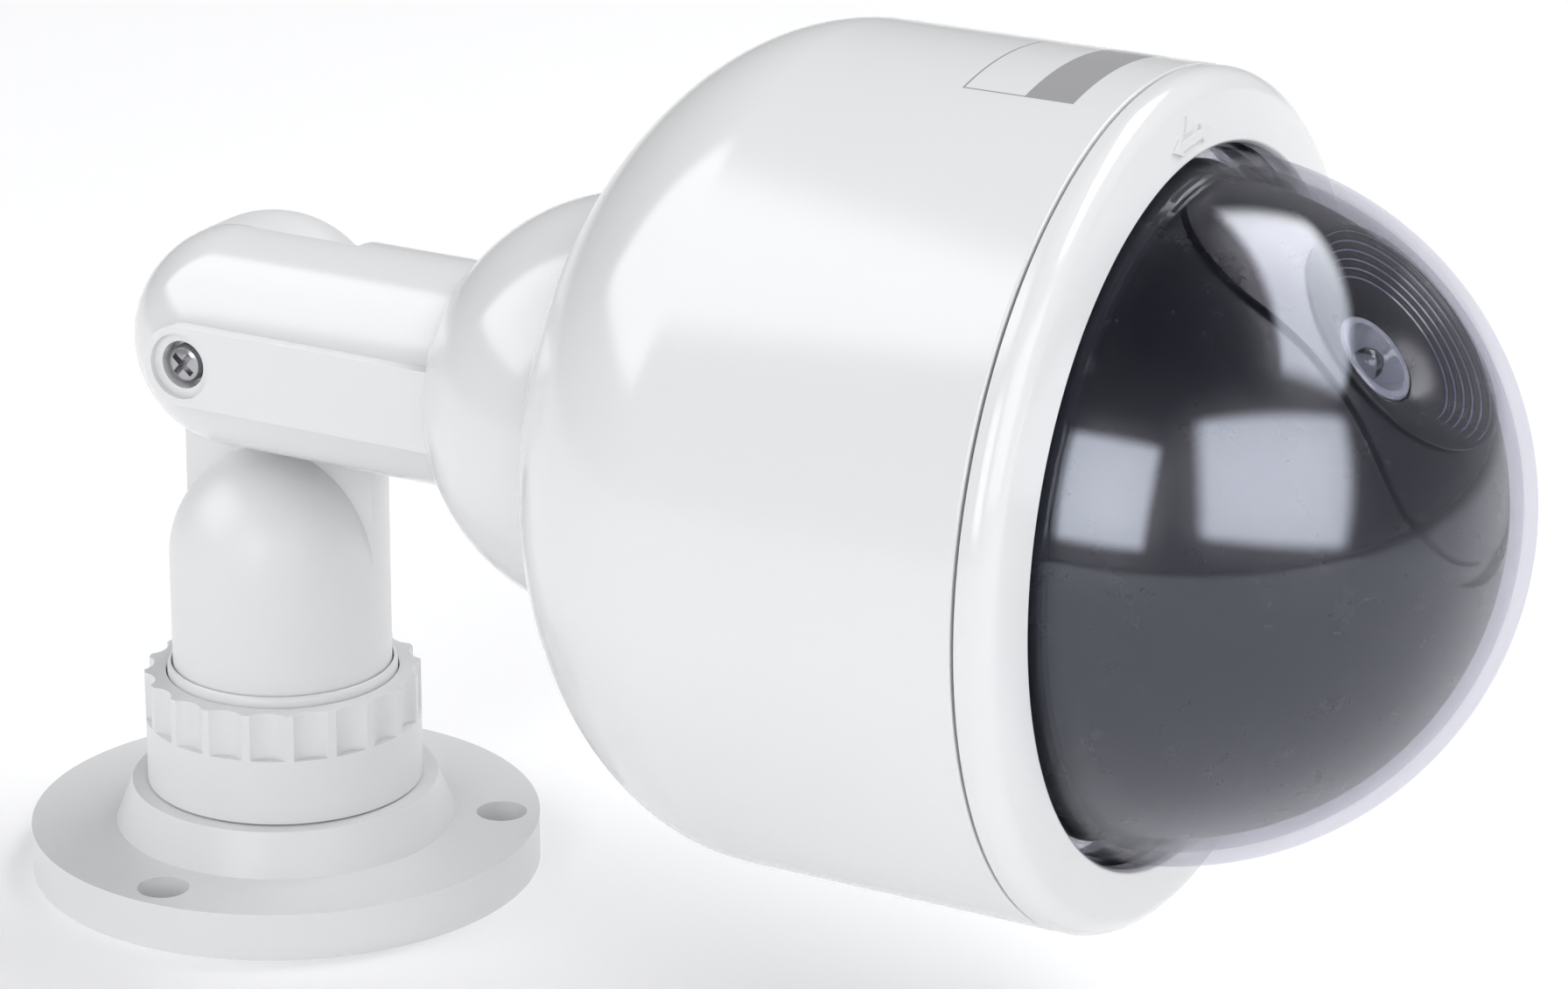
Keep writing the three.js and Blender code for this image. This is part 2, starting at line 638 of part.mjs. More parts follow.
function buildBezel() {
  const outerR = HOUSING_R - 0.05;
  const front = bezelRear + BEZEL_DEPTH;
  const roundMiddle = outerR - BEZEL_ROUND_R;
  let bezel = revolve("x", [
    [skirtR - SKIRT_WALL, skirtEnd],
    [skirtR, skirtEnd],
    [skirtR, bezelRear],
    [outerR - 0.5, bezelRear],
    ...arc(roundMiddle, bezelRear + 0.5, BEZEL_ROUND_R, BEZEL_DEPTH - 0.5, 0, 90, 7),
    [bezelOpeningR + 0.6, front - 0.2],
    [bezelOpeningR, front - 1.2],
    [bezelOpeningR, lipRear],
    [skirtR - SKIRT_WALL, lipRear],
  ], FINE);
  for (const [angle] of around(CATCHES, 1, 0)) {
    bezel = bezel.add(sector(skirtR - 0.5, innerHousingR - 2 * RUN, skirtEnd, skirtEnd + LUG_T,
      angle, LUG_ANGLE));
  }
  addPiece(head, "bezel_ring", bezel, WHITE);
  const sealFront = housingFront - 0.2;
  const seal = ring("x", skirtR + RUN, innerHousingR - 2 * RUN, sealFront - SEAL_WIDTH, sealFront,
    FINE);
  addPiece(head, "bezel_seal", seal, RUBBER);

  const gasketRear = lipRear - GAP - GASKET_T;
  const gasketR = domeFlangeR + 0.1;
  const gasket = ring("x", bezelOpeningR + GAP, gasketR, gasketRear, gasketRear + GASKET_T);
  addPiece(head, "dome_gasket", gasket, RUBBER);
  const flangeFront = gasketRear - GAP;
  const flangeRear = flangeFront - DOME_FLANGE_T;
  const domeIn = domeR - DOME_WALL;
  const dome = revolve("x", [
    [domeIn, flangeRear],
    [domeFlangeR, flangeRear],
    [domeFlangeR, flangeFront],
    [domeR, flangeFront],
    ...arc(0, domeX, domeR, domeR, 0, 90, ARC_STEPS + 2),
    ...arc(0, domeX, domeIn, domeIn, 90, 0, ARC_STEPS + 2),
  ], FINE);
  addPiece(head, "clear_dome", dome, CLEAR);
  const retainerFront = flangeRear - GAP;
  const retainer = ring("x", domeIn + 0.7, gasketR, retainerFront - RETAINER_T, retainerFront);
  addPiece(head, "dome_retainer", retainer, GREY);
}

// A prism with two round ends, pointing out of the shell's centre at the groove's tilt
function trackPrism(half) {
  const reach = shellR * Math.sin(radians(TRACK_SWING));
  const shape = new THREE.Shape();
  shape.absarc(reach, 0, half, -Math.PI / 2, Math.PI / 2, false);
  shape.absarc(-reach, 0, half, Math.PI / 2, (3 * Math.PI) / 2, false);
  const geometry = new THREE.ExtrudeGeometry(shape, {
    depth: shellR,
    bevelEnabled: false,
    curveSegments: 10,
  });
  geometry.translate(0, 0, shellR / 4);
  geometry.rotateY(Math.PI / 2 - radians(TRACK_TILT));
  geometry.translate(domeX, 0, 0);
  return solid(geometry);
}

function buildInnerShell() {
  const inner = shellR - SHELL_WALL;
  let shell = revolve("x", [
    [inner, shellRear],
    [shellR, shellRear],
    ...arc(0, domeX, shellR, shellR, 0, 90, ARC_STEPS + 3),
    ...arc(0, domeX, inner, inner, 90, 0, INNER_STEPS + 1),
  ], FINE);
  const depthBall = solid(new THREE.SphereGeometry(shellR - TRACK_DEPTH, MEDIUM, COARSE - 4)
    .translate(domeX, 0, 0));
  const groove = trackPrism(TRACK_HALF).subtract(trackPrism(TRACK_HALF - TRACK_WIDTH));
  shell = shell.subtract(groove.subtract(depthBall));
  const window = aim(new THREE.CylinderGeometry(lensSeatR, lensSeatR, shellR, MEDIUM), "x");
  window.translate(shellR, 0, 0);
  window.rotateY(-radians(LENS_TILT));
  window.translate(domeX, 0, 0);
  shell = shell.subtract(solid(window));
  const tip = shellRear + 8;
  around(3, shellScrewPitchR, 90).forEach(([, y, z], i) => {
    shell = shell.add(rod("x", SHELL_BOSS_R, shellRear, domeX, [0, y, z], 16));
    shell = shell.subtract(rod("x", 1.15 + RUN, shellRear - OVER, tip + GAP, [0, y, z]));
    const screw = panScrew("x", 2.6, 1.8, 1.15, chassisX - 0.1, tip);
    addPiece(head, `shell_screw_${i + 1}`, screw.translate([0, y, z]), STEEL);
  });
  addPiece(head, "inner_shell", shell, DARK);
}

// The lens pieces are built along X and tilted with their group
function buildLens() {
  const rimInner = LENS_RIM_R - 0.8;
  const stepR = (rimInner - LENS_CONE_R) / LENS_STEPS;
  const stepH = (lensRimH - lensConeH) / LENS_STEPS;
  const steps = [];
  for (let i = 0; i < LENS_STEPS; i++) {
    steps.push([rimInner - stepR * i, lensRimH - stepH * (i + 1)]);
    steps.push([rimInner - stepR * (i + 1), lensRimH - stepH * (i + 1)]);
  }
  const plugR = lensSeatR - GAP;
  const tubeR = LENS_BORE_R + LENS_TUBE_WALL;
  const bezel = revolve("x", [
    [LENS_BORE_R, lensTubeEnd],
    [tubeR, lensTubeEnd],
    [tubeR, lensBoreH - 2.2],
    [LENS_CONE_R + 1.5, lensConeH - 3],
    [plugR, lensConeH - 1],
    [plugR, lensRimH - 0.5],
    [LENS_RIM_R, lensRimH - 0.5],
    [LENS_RIM_R - 0.1, lensRimH],
    [rimInner, lensRimH],
    ...steps,
    [LENS_BORE_R, lensBoreH],
  ], MEDIUM);
  addPiece(lensGroup, "lens_surround", bezel, DARK);

  const cupR = LENS_BORE_R - GAP;
  const cupBore = LED_R + 0.7;
  const cup = revolve("x", [
    [cupBore, ledBase],
    [cupBore + 1.4, ledBase],
    [cupR, lensBoreH - 1.2],
    [cupR, lensBoreH + 0.3],
    [cupR - 0.9, lensBoreH + 0.3],
    [cupBore, ledBase + 1.1],
  ], COARSE);
  addPiece(lensGroup, "lens_cup", cup, CLEAR);
  const led = revolve("x", [
    [0, ledBase],
    [LED_R + 0.4, ledBase],
    [LED_R + 0.4, ledBase + 0.8],
    [LED_R, ledBase + 0.8],
    ...arc(0, ledTop - LED_R, LED_R, LED_R, 0, 90, 5),
  ], 16);
  addPiece(lensGroup, "led", led, CLEAR);
  const holder = ring("x", 1.4, cupR, lensTubeEnd + 0.2, ledBase - GAP, COARSE);
  addPiece(lensGroup, "led_holder", holder, GREY);
}

function buildChassis() {
  let plate = disc("x", chassisR, chassisX, chassisFront, FINE);
  const through = [chassisX - OVER, chassisFront + OVER];
  const cut = 0.4;
  const outY = boxHalfY + BOX_WALL + cut;
  const outZ = boxHalfZ + BOX_WALL + cut;
  plate = plate.subtract(box(through, [-outY, outY], [BOX_MIDDLE - outZ, BOX_MIDDLE + outZ]));
  const slotY = KNOB_SIZE / 2 + RUN;
  const slotZ = (KNOB_SIZE + KNOB_TRAVEL) / 2 + RUN;
  plate = plate.subtract(box(through, [switchY - slotY, switchY + slotY], [-slotZ, slotZ]));
  around(3, shellScrewPitchR, 90).forEach(([, y, z]) => {
    plate = plate.subtract(rod("x", 1.15 + RUN, ...through, [0, y, z]));
  });
  around(3, postPitchR, 90).forEach(([, y, z], i) => {
    plate = plate.subtract(rod("x", 1.4 + RUN, ...through, [0, y, z]));
    const screw = panScrew("x", 3, 2, 1.4, chassisFront + 0.1, chassisX - GAP - 11);
    addPiece(head, `chassis_screw_${i + 1}`, screw.translate([0, y, z]), STEEL);
  });
  const boardFront = chassisX - BOARD_STANDOFF - GAP;
  [-1, 1].forEach((side, i) => {
    const place = [0, side * BOARD_SCREW_Y, boardMiddle];
    plate = plate.add(rod("x", 2.2, chassisX - BOARD_STANDOFF, chassisX + 0.5, place));
    plate = plate.subtract(rod("x", 0.9 + 0.15, chassisX - BOARD_STANDOFF - OVER,
      chassisX + 0.4, place, 8));
    const screw = panScrew("x", 1.7, 1.2, 0.9, boardFront - BOARD_T - 0.1, chassisX, 8);
    addPiece(head, `board_screw_${i + 1}`, screw.translate(place), STEEL);
    const boxPlace = [0, side * boxScrewY, BOX_MIDDLE];
    plate = plate.subtract(rod("x", 1 + 0.15, ...through, boxPlace, 8));
    const boxScrew = panScrew("x", 2, 1.4, 1, chassisX - GAP - BOX_WALL - 0.1, chassisFront - 0.5, 8);
    addPiece(head, `battery_box_screw_${i + 1}`, boxScrew.translate(boxPlace), STEEL);
  });
  addPiece(head, "chassis_plate", plate, GREY);
  buildBoard(boardFront);
  buildSwitch(slotY, slotZ);
}

function buildBoard(front) {
  const rear = front - BOARD_T;
  const low = boardMiddle - BOARD_Z / 2;
  let board = box([rear, front], [-BOARD_Y / 2, BOARD_Y / 2], [low, low + BOARD_Z]);
  for (const side of [-1, 1]) {
    board = board.subtract(rod("x", 0.9 + RUN, rear - OVER, front + OVER,
      [0, side * BOARD_SCREW_Y, boardMiddle], 8));
  }
  addPiece(head, "circuit_board", board, GREEN);
  const face = rear - 0.2;
  const chip = box([face - 1.8, face], [-6.5, -0.5], [boardMiddle - 3, boardMiddle + 3]);
  addPiece(head, "driver_chip", chip, DARK);
  const capacitor = rod("x", 2.5, face - 7, face, [0, 4.5, boardMiddle - 2], 16);
  addPiece(head, "capacitor", capacitor, DARK);
}

function buildSwitch(slotY, slotZ) {
  const front = chassisX - GAP;
  const wide = SWITCH_WIDTH / 2;
  const long = SWITCH_LENGTH / 2;
  const body = box([front - SWITCH_DEPTH, front], [switchY - wide, switchY + wide], [-long, long])
    .subtract(box([front - 3.2, front + OVER], [switchY - slotY, switchY + slotY],
      [-slotZ, slotZ]));
  addPiece(head, "slide_switch", body, GREY);
  const half = KNOB_SIZE / 2;
  const low = -(KNOB_SIZE + KNOB_TRAVEL) / 2;
  const knob = box([front - 2.9, chassisFront + KNOB_PROUD], [switchY - half, switchY + half],
    [low, low + KNOB_SIZE]);
  addPiece(head, "switch_knob", knob, DARK);
}

function buildBatteryBox() {
  const rear = boxFront - boxDepth - BOX_WALL;
  const zMid = BOX_MIDDLE;
  const centred = (half) => [-half, half];
  const middle = (half) => [zMid - half, zMid + half];
  const flangeFront = chassisX - GAP;
  let tray = box([rear, boxFront], centred(boxHalfY + BOX_WALL), middle(boxHalfZ + BOX_WALL));
  tray = tray.add(box([flangeFront - BOX_WALL, flangeFront], centred(boxFlangeY),
    middle(boxFlangeZ)));
  tray = tray.subtract(box([rear + BOX_WALL, boxFront + OVER], centred(boxHalfY),
    middle(boxHalfZ)));
  const pinX = boxFront - 1.4;
  const pinZ = zMid - boxHalfZ + HINGE_BARREL_R + GAP;
  const pinHalf = boxHalfY + BOX_WALL;
  const pinPlace = [pinX, 0, pinZ];
  tray = tray.subtract(disc("y", HINGE_PIN_R + 0.15, -pinHalf - OVER, pinHalf + OVER, SMALL)
    .translate(pinPlace));
  for (const side of [-1, 1]) {
    tray = tray.subtract(rod("x", 1 + 0.15, flangeFront - BOX_WALL - OVER, flangeFront + OVER,
      [0, side * boxScrewY, zMid], 8));
  }
  addPiece(head, "battery_box", tray, GREY);
  const pin = disc("y", HINGE_PIN_R, -pinHalf + 0.2, pinHalf - 0.2, SMALL).translate(pinPlace);
  addPiece(head, "lid_hinge_pin", pin, STEEL);

  const lidHalf = boxHalfY - GAP;
  let lid = box([boxFront - LID_T, boxFront], centred(lidHalf), [pinZ, zMid + boxHalfZ - GAP]);
  lid = lid.add(disc("y", HINGE_BARREL_R, -lidHalf, lidHalf, 16).translate(pinPlace));
  lid = lid.subtract(disc("y", HINGE_PIN_R + 0.2, -lidHalf - OVER, lidHalf + OVER, SMALL)
    .translate(pinPlace));
  addPiece(head, "battery_lid", lid, GREY);

  const plateT = 0.5;
  const plateY = boxHalfY - 1;
  const plateX = [cellX - CELL_R + 0.6, cellX + CELL_R - 0.6];
  const plateFace = boxHalfZ - 0.2 - plateT;
  const half = CELL_LENGTH / 2;
  const shift = plateFace - GAP - half;
  [-1, 1].forEach((side, i) => {
    const y = (side * cellSpacing) / 2;
    const cell = revolve("z", [
      [0, -half],
      [CELL_R - 0.4, -half],
      [CELL_R, -half + 0.4],
      [CELL_R, half - 1.6],
      [CELL_R - 0.6, half - 1.2],
      [2.6, half - 1.2],
      [2.6, half],
      [0, half],
    ], COARSE);
    const placed = side > 0 ? cell : cell.mirror([0, 0, 1]);
    addPiece(head, `battery_cell_${i + 1}`, placed.translate([cellX, y, zMid + side * shift]), CELL);
    const outer = zMid - side * (boxHalfZ - 0.2);
    const faces = [outer, outer + side * plateT].sort((a, b) => a - b);
    addPiece(head, `contact_plate_${i + 1}`, box(plateX, centred(plateY), faces), STEEL);
    const from = plateFace - 0.1;
    const spring = coilSpring(4.4, 2.6, from + shift - half - 0.2, 0.35, 2);
    const turned = side > 0 ? spring : spring.mirror([0, 0, 1]);
    const foot = [cellX, y, zMid - side * from];
    addPiece(head, `contact_spring_${i + 1}`, turned.translate(foot), STEEL);
  });
}

// A cone-shaped wire spring that stands on the plane Z = 0
function coilSpring(wide, narrow, height, wire, turns) {
  const points = [];
  const steps = turns * 12;
  for (let i = 0; i <= steps; i++) {
    const t = i / steps;
    const r = wide + (narrow - wide) * t;
    const angle = t * turns * 2 * Math.PI;
    const z = wire + (height - 2 * wire) * t;
    points.push(new THREE.Vector3(r * Math.cos(angle), r * Math.sin(angle), z));
  }
  const section = new THREE.Shape();
  for (let i = 0; i < 6; i++) {
    const angle = (i / 6) * 2 * Math.PI;
    const point = [wire * Math.cos(angle), wire * Math.sin(angle)];
    if (i === 0) section.moveTo(...point);
    else section.lineTo(...point);
  }
  section.closePath();
  return solid(new THREE.ExtrudeGeometry(section, {
    steps,
    bevelEnabled: false,
    extrudePath: new THREE.CatmullRomCurve3(points),
  }));
}

buildBase();
buildLockNut();
buildStem();
buildArm();
buildHousing();
buildBezel();
buildInnerShell();
buildLens();
buildChassis();
buildBatteryBox();

export default camera;
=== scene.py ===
import math

import bmesh
import bpy
from bpy.props import FloatProperty, FloatVectorProperty, PointerProperty
from mathutils import Matrix, Vector


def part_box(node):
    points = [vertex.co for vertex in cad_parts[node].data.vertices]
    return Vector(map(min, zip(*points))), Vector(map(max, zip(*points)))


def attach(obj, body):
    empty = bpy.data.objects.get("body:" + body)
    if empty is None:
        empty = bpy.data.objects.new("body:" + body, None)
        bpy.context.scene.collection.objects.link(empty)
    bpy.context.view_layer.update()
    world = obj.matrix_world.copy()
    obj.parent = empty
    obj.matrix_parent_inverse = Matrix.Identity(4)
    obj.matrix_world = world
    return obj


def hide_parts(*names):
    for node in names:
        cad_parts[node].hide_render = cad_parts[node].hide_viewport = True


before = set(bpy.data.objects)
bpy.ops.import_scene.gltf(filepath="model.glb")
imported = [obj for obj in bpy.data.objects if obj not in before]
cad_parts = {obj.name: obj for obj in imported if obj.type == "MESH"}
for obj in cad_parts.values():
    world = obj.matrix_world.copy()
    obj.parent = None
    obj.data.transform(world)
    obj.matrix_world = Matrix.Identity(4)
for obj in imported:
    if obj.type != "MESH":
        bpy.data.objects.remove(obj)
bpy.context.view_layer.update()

bl_info = {
    "name": "Dome camera",
    "version": (1, 0, 0),
    "blender": (4, 5, 0),
    "location": "View3D > Sidebar > Dome camera",
    "description": "Builds the moulded pieces, finishes and studio of a dome camera on a bracket",
    "category": "Object",
}

MM = 0.001
TURNS = 144
# the middle of the arm, and the point of the stem's centre line on the hinge's axis
HINGE = Vector((0, -8, 100))
KNUCKLE = (0, 0, 100)
HOUSING_RADIUS = 69.05
DOME_RADIUS = 56.46
SHARP = math.radians(35)
MERGE = 1e-4
SLIVER = 1e-5

# ---------------------------------------------------------------- sizes and colours


def radius_of(node, axis):
    """Half the width of a CAD node along an axis, in metres."""
    low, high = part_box(node)
    return (high[axis] - low[axis]) / 2


def length(name, text, default):
    return FloatProperty(name=name, description=text, default=default, unit="LENGTH", precision=4)


def colour(name, text, default):
    return FloatVectorProperty(
        name=name, description=text, default=default, subtype="COLOR", size=3, min=0, max=1
    )


class DOMECAM_PG_sizes(bpy.types.PropertyGroup):
    """Sizes of the moulded pieces"""

    flange_radius: length("Base radius", "Radius of the base plate", radius_of("base_flange", 0))
    stem_radius: length("Stem radius", "Radius of the stem and of the arm", 0.01925)
    ball_radius: length("Neck radius", "Radius of the ball behind the housing", 0.0356)
    housing_radius: length(
        "Housing radius", "Radius of the housing's cylinder", HOUSING_RADIUS * MM
    )
    bezel_opening: length("Bezel opening", "Radius of the opening round the dome", 0.0575)
    dome_radius: length("Dome radius", "Outer radius of the clear dome", DOME_RADIUS * MM)
    shell_radius: length("Shell radius", "Radius of the dark shell under the dome", 0.0522)
    lens_radius: length("Lens surround radius", "Radius of the stepped lens surround", 0.0197)
    edge: length("Edge rounding", "Rounding of the moulded edges", 0.0005)


class DOMECAM_PG_colours(bpy.types.PropertyGroup):
    """Colours of the finishes"""

    white: colour("White plastic", "Colour of the outer mouldings", (0.73, 0.735, 0.74))
    dark: colour("Dark plastic", "Colour of the shell under the dome", (0.004, 0.0045, 0.007))
    grey: colour("Grey plastic", "Colour of the inner mouldings", (0.11, 0.12, 0.13))
    clear: colour("Clear plastic", "Tint of the dome", (0.83, 0.825, 0.875))
    steel: colour("Plated steel", "Colour of the screws", (0.42, 0.42, 0.44))
    floor: colour("Floor", "Colour of the floor", (0.93, 0.93, 0.94))


# ---------------------------------------------------------------- shaping


def arc(centre_r, centre_a, radius_r, radius_a, first, last, steps=24):
    """Points of an elliptical arc as (radius, place along the axis)."""
    made = []
    for i in range(steps + 1):
        t = math.radians(first + (last - first) * i / steps)
        r = centre_r + radius_r * math.cos(t)
        made.append((0.0 if abs(r) < 1e-6 else r, centre_a + radius_a * math.sin(t)))
    return made


def turn(bm, outline, axis="Z", centre=(0, 0, 0), steps=TURNS):
    """Spins a closed outline of (radius, place) about an axis."""
    place = {
        "X": lambda r, a: (a, 0, r),
        "Y": lambda r, a: (0, a, r),
        "Z": lambda r, a: (r, 0, a),
    }[axis]
    verts = [bm.verts.new(place(r, a)) for r, a in outline]
    edges = [bm.edges.new((verts[i - 1], v)) for i, v in enumerate(verts)]
    way = {"X": (1, 0, 0), "Y": (0, 1, 0), "Z": (0, 0, 1)}[axis]
    before = set(bm.verts)
    bmesh.ops.spin(
        bm,
        geom=verts + edges,
        cent=(0, 0, 0),
        axis=way,
        dvec=(0, 0, 0),
        angle=2 * math.pi,
        steps=steps,
        use_merge=True,
    )
    made = [v for v in bm.verts if v in verts or v not in before]
    bmesh.ops.translate(bm, verts=made, vec=centre)
    bmesh.ops.remove_doubles(bm, verts=bm.verts, dist=MERGE)
    bmesh.ops.dissolve_degenerate(bm, edges=bm.edges, dist=SLIVER)
    bmesh.ops.recalc_face_normals(bm, faces=bm.faces)


def turned(outline, axis="Z", centre=(0, 0, 0), steps=TURNS):
    """A new solid from one spun outline."""
    bm = bmesh.new()
    turn(bm, outline, axis, centre, steps)
    return bm


def rod(radius, first, last, axis="Z", centre=(0, 0, 0), steps=48):
    return turned([(0, first), (radius, first), (radius, last), (0, last)], axis, centre, steps)


def block(low, high):
    bm = bmesh.new()
    size = Vector(high) - Vector(low)
    middle = (Vector(high) + Vector(low)) / 2
    place = Matrix.Translation(middle) @ Matrix.Diagonal((*size, 1))
    bmesh.ops.create_cube(bm, size=1, matrix=place)
    return bm


def prism(corners, depth):
    """A flat outline in the plane across Z, drawn up along Z."""
    bm = bmesh.new()
    face = bm.faces.new([bm.verts.new((x, y, 0)) for x, y in corners])
    made = bmesh.ops.extrude_face_region(bm, geom=[face])["geom"]
    up = [v for v in made if isinstance(v, bmesh.types.BMVert)]
    bmesh.ops.translate(bm, verts=up, vec=(0, 0, depth))
    bmesh.ops.recalc_face_normals(bm, faces=bm.faces)
    return bm


def stadium(half, reach, steps=28):
    """Corners of an outline with two round ends, `reach` from its middle along X."""
    right = [math.radians(-90 + 180 * i / steps) for i in range(steps + 1)]
    ends = [(reach + half * math.cos(t), half * math.sin(t)) for t in right]
    return ends + [(-x, -y) for x, y in ends]


def move(bm, matrix):
    bmesh.ops.transform(bm, matrix=matrix, verts=bm.verts)
    return bm


def as_object(bm, name="work"):
    """A temporary object in millimetres."""
    mesh = bpy.data.meshes.new(name)
    bm.to_mesh(mesh)
    bm.free()
    made = bpy.data.objects.new(name, mesh)
    bpy.context.scene.collection.objects.link(made)
    return made


def combine(bm, other, how):
    """Joins, cuts or keeps the common part of two solids."""
    body = as_object(bm)
    tool = as_object(other)
    step = body.modifiers.new("combine", "BOOLEAN")
    step.object = tool
    step.operation = how
    step.solver = "EXACT"
    graph = bpy.context.evaluated_depsgraph_get()
    result = bpy.data.meshes.new_from_object(body.evaluated_get(graph))
    out = bmesh.new()
    out.from_mesh(result)
    for gone in (body, tool):
        mesh = gone.data
        bpy.data.objects.remove(gone)
        bpy.data.meshes.remove(mesh)
    bpy.data.meshes.remove(result)
    bmesh.ops.remove_doubles(out, verts=out.verts, dist=MERGE)
    bmesh.ops.dissolve_degenerate(out, edges=out.edges, dist=MERGE)
    return out


def cut(bm, other):
    return combine(bm, other, "DIFFERENCE")


def join(bm, other):
    return combine(bm, other, "UNION")


def piece(name, bm, finish, body, nodes=(), edge=None):
    """A finished piece in metres, riding on its body in place of the CAD nodes it stands for."""
    bmesh.ops.recalc_face_normals(bm, faces=bm.faces)
    bmesh.ops.scale(bm, vec=(MM, MM, MM), verts=bm.verts)
    mesh = bpy.data.meshes.new(name)
    bm.to_mesh(mesh)
    bm.free()
    mesh.materials.append(finish)
    mesh.polygons.foreach_set("use_smooth", [True] * len(mesh.polygons))
    mesh.set_sharp_from_angle(angle=SHARP)
    made = bpy.data.objects.new(name, mesh)
    bpy.context.scene.collection.objects.link(made)
    if edge:
        rounding = made.modifiers.new("edges", "BEVEL")
        rounding.width = edge
        rounding.segments = 3
        rounding.limit_method = "ANGLE"
        rounding.angle_limit = SHARP
        rounding.harden_normals = True
    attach(made, body)
    if nodes:
        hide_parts(*nodes)
    return made


# ---------------------------------------------------------------- finishes


def new_group(name, inputs, outputs):
    group = bpy.data.node_groups.new(name, "ShaderNodeTree")
    for label, kind, default in inputs:
        socket = group.interface.new_socket(label, in_out="INPUT", socket_type=kind)
        socket.default_value = default
    for label, kind in outputs:
        group.interface.new_socket(label, in_out="OUTPUT", socket_type=kind)
    return group


def link(tree, source, target):
    tree.links.new(source, target)


def maths(tree, how, first, second=None, third=None, clamp=False):
    node = tree.nodes.new("ShaderNodeMath")
    node.operation = how
    node.use_clamp = clamp
    for i, value in enumerate((first, second, third)):
        if value is None:
            continue
        if isinstance(value, (int, float)):
            node.inputs[i].default_value = value
        else:
            link(tree, value, node.inputs[i])
    return node.outputs[0]


def noise(tree, vector, scale, detail=2.0, roughness=0.5):
    node = tree.nodes.new("ShaderNodeTexNoise")
    node.inputs["Scale"].default_value = scale
    node.inputs["Detail"].default_value = detail
    node.inputs["Roughness"].default_value = roughness
    link(tree, vector, node.inputs["Vector"])
    return node.outputs["Fac"]


def surface_group():
    """Moulded surface: broad shade drift, fine grain and faint rub marks from one place."""
    tree = new_group(
        "Moulded surface",
        [
            ("Vector", "NodeSocketVector", (0, 0, 0)),
            ("Grain", "NodeSocketFloat", 4000.0),
            ("Roughness", "NodeSocketFloat", 0.3),
            ("Drift", "NodeSocketFloat", 0.04),
        ],
        [
            ("Shade", "NodeSocketFloat"),
            ("Roughness", "NodeSocketFloat"),
            ("Height", "NodeSocketFloat"),
        ],
    )
    inside = tree.nodes.new("NodeGroupInput")
    outside = tree.nodes.new("NodeGroupOutput")
    place = inside.outputs["Vector"]
    broad = noise(tree, place, 22.0, 3.0)
    rubs = noise(tree, place, 160.0, 5.0, 0.7)
    grain = tree.nodes.new("ShaderNodeTexNoise")
    grain.inputs["Detail"].default_value = 1.0
    link(tree, place, grain.inputs["Vector"])
    link(tree, inside.outputs["Grain"], grain.inputs["Scale"])
    drift = maths(tree, "MULTIPLY", maths(tree, "SUBTRACT", broad, 0.5), inside.outputs["Drift"])
    link(tree, maths(tree, "ADD", drift, 1.0), outside.inputs["Shade"])
    swing = maths(tree, "MULTIPLY", maths(tree, "SUBTRACT", rubs, 0.5), 0.12)
    rough = maths(tree, "ADD", inside.outputs["Roughness"], swing, clamp=True)
    link(tree, rough, outside.inputs["Roughness"])
    mixed = maths(tree, "ADD", maths(tree, "MULTIPLY", grain.outputs["Fac"], 0.8),
                  maths(tree, "MULTIPLY", rubs, 0.2))
    link(tree, mixed, outside.inputs["Height"])
    return tree


def start_material(name, surface, grain, rough, drift, bump, bump_distance):
    """A material with its shader and the shared moulded surface placed in it."""
    material = bpy.data.materials.new(name)
    material.use_nodes = True
    tree = material.node_tree
    shader = tree.nodes["Principled BSDF"]
    place = tree.nodes.new("ShaderNodeTexCoord").outputs["Object"]
    effect = tree.nodes.new("ShaderNodeGroup")
    effect.node_tree = surface
    link(tree, place, effect.inputs["Vector"])
    effect.inputs["Grain"].default_value = grain
    effect.inputs["Roughness"].default_value = rough
    effect.inputs["Drift"].default_value = drift
    link(tree, effect.outputs["Roughness"], shader.inputs["Roughness"])
    height = tree.nodes.new("ShaderNodeBump")
    height.inputs["Strength"].default_value = bump
    height.inputs["Distance"].default_value = bump_distance
    link(tree, effect.outputs["Height"], height.inputs["Height"])
    link(tree, height.outputs["Normal"], shader.inputs["Normal"])
    return material, tree, shader, place, effect


def shaded(tree, shader, effect, tint):
    """The tint times the group's shade, into Base Color."""
    mix = tree.nodes.new("ShaderNodeVectorMath")
    mix.operation = "SCALE"
    mix.inputs[0].default_value = tint
    link(tree, effect.outputs["Shade"], mix.inputs["Scale"])
    link(tree, mix.outputs[0], shader.inputs["Base Color"])


